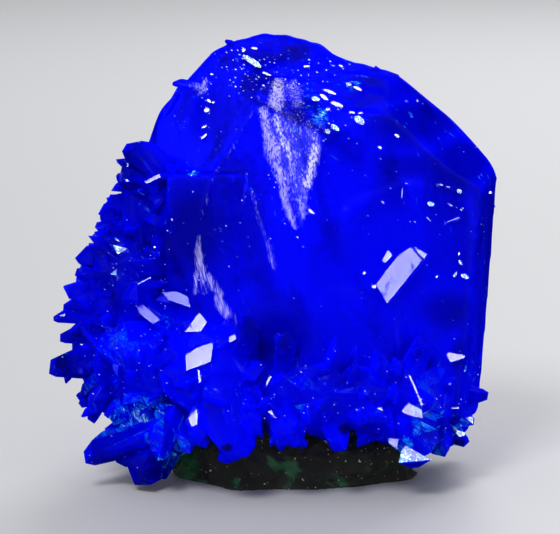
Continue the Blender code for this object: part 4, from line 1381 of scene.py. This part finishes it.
tree.links.new(absorb.outputs["Volume"], tree.nodes["Material Output"].inputs["Volume"])
crystals.data.materials.clear()
crystals.data.materials.append(blue)
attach(crystals, "root")
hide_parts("crystals")
print("nodes in the blue:", len(tree.nodes))

# %% [markdown]
# ## The rock
# The matrix is a dark, almost black rock with a rough broken surface and a dusting of dull green
# copper minerals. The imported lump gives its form. Here a copy of it is given an even skin, then
# carved inward by ridged noise, so that it can't touch the crystals above it. The underside stays
# flat, because the specimen rests on it.

# %% Rough rock
ROCK_VOXEL = 0.55
ROCK_CARVING = 3.0
ROCK_LEDGES = 6.5
ROCK_GRIT = 0.35
ROCK_BUMPS = 1.9
ROCK_GRAINS = 0.8
ROCK_UPRIGHT = 0.5
KEPT_FLAT = 0.4

packed_rock = bmesh.new()
packed_rock.from_mesh(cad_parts["matrix"].data)
bmesh.ops.remove_doubles(packed_rock, verts=packed_rock.verts[:], dist=1e-7)
rock = as_object("rock_matrix", packed_rock)
remesh = rock.modifiers.new("skin", "REMESH")
remesh.mode = "VOXEL"
remesh.voxel_size = ROCK_VOXEL * MM
apply_modifiers(rock)
rough_rock = bmesh.new()
rough_rock.from_mesh(rock.data)
rough_rock.normal_update()
moves = []
for vert in rough_rock.verts:
    spot = vert.co / MM
    ledge = abs(noise.noise(spot / ROCK_LEDGES)) + 0.5 * abs(noise.noise(spot / ROCK_BUMPS))
    depth = ROCK_CARVING * ledge + ROCK_GRIT * abs(noise.noise(spot / ROCK_GRAINS))
    depth *= min(1.0, max(0.0, spot.z / KEPT_FLAT - 1.0))
    inward = Vector((vert.normal.x, vert.normal.y, ROCK_UPRIGHT * vert.normal.z))
    moves.append(inward * -depth * MM)
for vert, move in zip(rough_rock.verts, moves):
    vert.co += move
rough_rock.to_mesh(rock.data)
print("rock:", len(rough_rock.verts), "vertices")
rough_rock.free()
rock.data.shade_smooth()

# %% [markdown]
# ## Colour of the rock
# Two dark tones mixed by noise keep the rock from looking like one flat black. Green patches and
# pale grains lie on it, and the green is a little smoother than the bare rock.

# %% Dark rock
ROCK_BLACK = (0.005, 0.006, 0.005, 1.0)
ROCK_GREY = (0.016, 0.016, 0.014, 1.0)
ROCK_GREEN = (0.008, 0.075, 0.026, 1.0)
ROCK_SPECK = (0.42, 0.46, 0.36, 1.0)
# Where the green crust is thickest, as across, up and two half sizes
GREENEST = (-18.6, 4.6, 3.0, 4.6)
CLOUDINESS_SCALE = 420.0
PATCH_SCALE = 170.0
PATCH_STEP = (0.56, 0.70)
PATCH_SMOOTHNESS = 0.3
GRAIN_SCALE = 1500.0
PALE_GRAIN_STEP = (0.72, 0.76)
ROCK_ROUGHNESS = 0.92
ROCK_SHINE = 0.35
ROCK_BUMP_SCALE = 1100.0
ROCK_BUMP_HEIGHT = 0.3
ROCK_BUMP_STRENGTH = 0.6

rock_finish, tree, shader = named_material("dark_rock_finish")
where = tree.nodes.new("ShaderNodeTexCoord").outputs["Object"]
cloudiness = noise_at(tree, where, CLOUDINESS_SCALE, 4.0)
patches = soft_step(tree, noise_at(tree, where, PATCH_SCALE, 5.0, 0.8), *PATCH_STEP)
patches = math_node(tree, "MAXIMUM", patches, near_point(tree, where, cloudiness, *GREENEST))
tone = mix_colour(tree, cloudiness, ROCK_BLACK, ROCK_GREY)
tone = mix_colour(tree, patches, tone, ROCK_GREEN)
pale_grains = soft_step(tree, noise_at(tree, where, GRAIN_SCALE, 1.0), *PALE_GRAIN_STEP)
tone = mix_colour(tree, pale_grains, tone, ROCK_SPECK)
tree.links.new(tone, shader.inputs["Base Color"])
smoother = math_node(tree, "MULTIPLY", patches, PATCH_SMOOTHNESS)
tree.links.new(math_node(tree, "SUBTRACT", ROCK_ROUGHNESS, smoother), shader.inputs["Roughness"])
shader.inputs["Specular IOR Level"].default_value = ROCK_SHINE
bump = tree.nodes.new("ShaderNodeBump")
bump.inputs["Strength"].default_value = ROCK_BUMP_STRENGTH
bump.inputs["Distance"].default_value = ROCK_BUMP_HEIGHT * MM
tree.links.new(noise_at(tree, where, ROCK_BUMP_SCALE, 6.0), bump.inputs["Height"])
tree.links.new(bump.outputs["Normal"], shader.inputs["Normal"])
rock.data.materials.clear()
rock.data.materials.append(rock_finish)
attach(rock, "root")
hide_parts("matrix")

# %% [markdown]
# ## A floor to stand on
# The floor is only a stage, so it is one grid with a pale matte finish. It stays a little darker
# than paper: in see-through material a white floor would wash the deep blue out from below.

# %% Floor
FLOOR_SIZE = 8.0
PALE_GREY = (0.34, 0.34, 0.35, 1.0)
FLOOR_ROUGHNESS = 0.6
FLOOR_SHINE = 0.2
floor_mesh = bmesh.new()
bmesh.ops.create_grid(floor_mesh, x_segments=2, y_segments=2, size=FLOOR_SIZE / 2)
floor = as_object("floor", floor_mesh)
floor_finish, tree, shader = named_material("pale_floor")
shader.inputs["Base Color"].default_value = PALE_GREY
shader.inputs["Roughness"].default_value = FLOOR_ROUGHNESS
shader.inputs["Specular IOR Level"].default_value = FLOOR_SHINE
floor.data.materials.append(floor_finish)

# %% [markdown]
# ## Studio light
# A deep colour needs a lot of even light, or it turns black, so most of the light comes from the
# whole sky of the studio. A small square key lamp stands where the bright faces mirror it toward the
# viewer: their common direction lies halfway between the lamp and the eye. A larger lamp behind
# lets the thin edges glow, and a broad dim one in front keeps the foot from getting dark. An area
# lamp's power is its radiance times pi times its area, so a helper sets lamps by radiance, which
# keeps their look when their size changes.

# %% Light
MIDDLE_OF_GROUP = place(0.0, 45.0, 8.0)
WORLD_LIGHT = 0.78
WORLD_TINT = (0.97, 0.98, 1.0, 1.0)
# Each lamp's name, its way from the group as across, up and toward, its distance and size in
# metres, and its radiance
LAMPS = (
    ("key", (-0.281, 0.612, 0.740), 0.9, 0.28, 28.0),
    ("back", (0.25, 0.70, -0.66), 1.0, 0.55, 8.0),
    ("front", (0.10, 0.06, 0.99), 1.2, 0.9, 1.0),
)


def softbox(name, way, distance, size, radiance):
    """A square area light of a given radiance, aimed at the middle of the group."""
    data = bpy.data.lights.new(name, "AREA")
    data.shape = "SQUARE"
    data.size = size
    data.energy = radiance * math.pi * size ** 2
    light = bpy.data.objects.new(name, data)
    light.location = MIDDLE_OF_GROUP + way * distance
    light.rotation_euler = way.to_track_quat("Z", "Y").to_euler()
    bpy.context.scene.collection.objects.link(light)


for name, way, distance, size, radiance in LAMPS:
    softbox(name, direction(*way), distance, size, radiance)

world = bpy.data.worlds.new("studio")
world.use_nodes = True
bpy.context.scene.world = world
background = world.node_tree.nodes["Background"]
background.inputs["Color"].default_value = WORLD_TINT
background.inputs["Strength"].default_value = WORLD_LIGHT

# %% [markdown]
# ## Camera
# The specimen is seen from the front and a little from above, from far enough away that its sides
# don't bend toward each other. A narrow field of view does that. The distance follows from the
# width that has to fit in the frame.

# %% Camera
FRAME_WIDTH = 112.0
FIELD_OF_VIEW = 9.0
SIGHT = place(0.0, 44.6, 10.0)
camera_data = bpy.data.cameras.new("camera")
camera_data.sensor_fit = "HORIZONTAL"
camera_data.angle = math.radians(FIELD_OF_VIEW)
camera_distance = FRAME_WIDTH / 2 * MM / math.tan(math.radians(FIELD_OF_VIEW) / 2)
camera = bpy.data.objects.new("camera", camera_data)
camera.location = SIGHT + TOWARD * camera_distance
camera.rotation_euler = TOWARD.to_track_quat("Z", "Y").to_euler()
bpy.context.scene.collection.objects.link(camera)
bpy.context.scene.camera = camera
bpy.context.scene.view_settings.view_transform = "Standard"
print("camera distance, m:", round(camera_distance, 3))
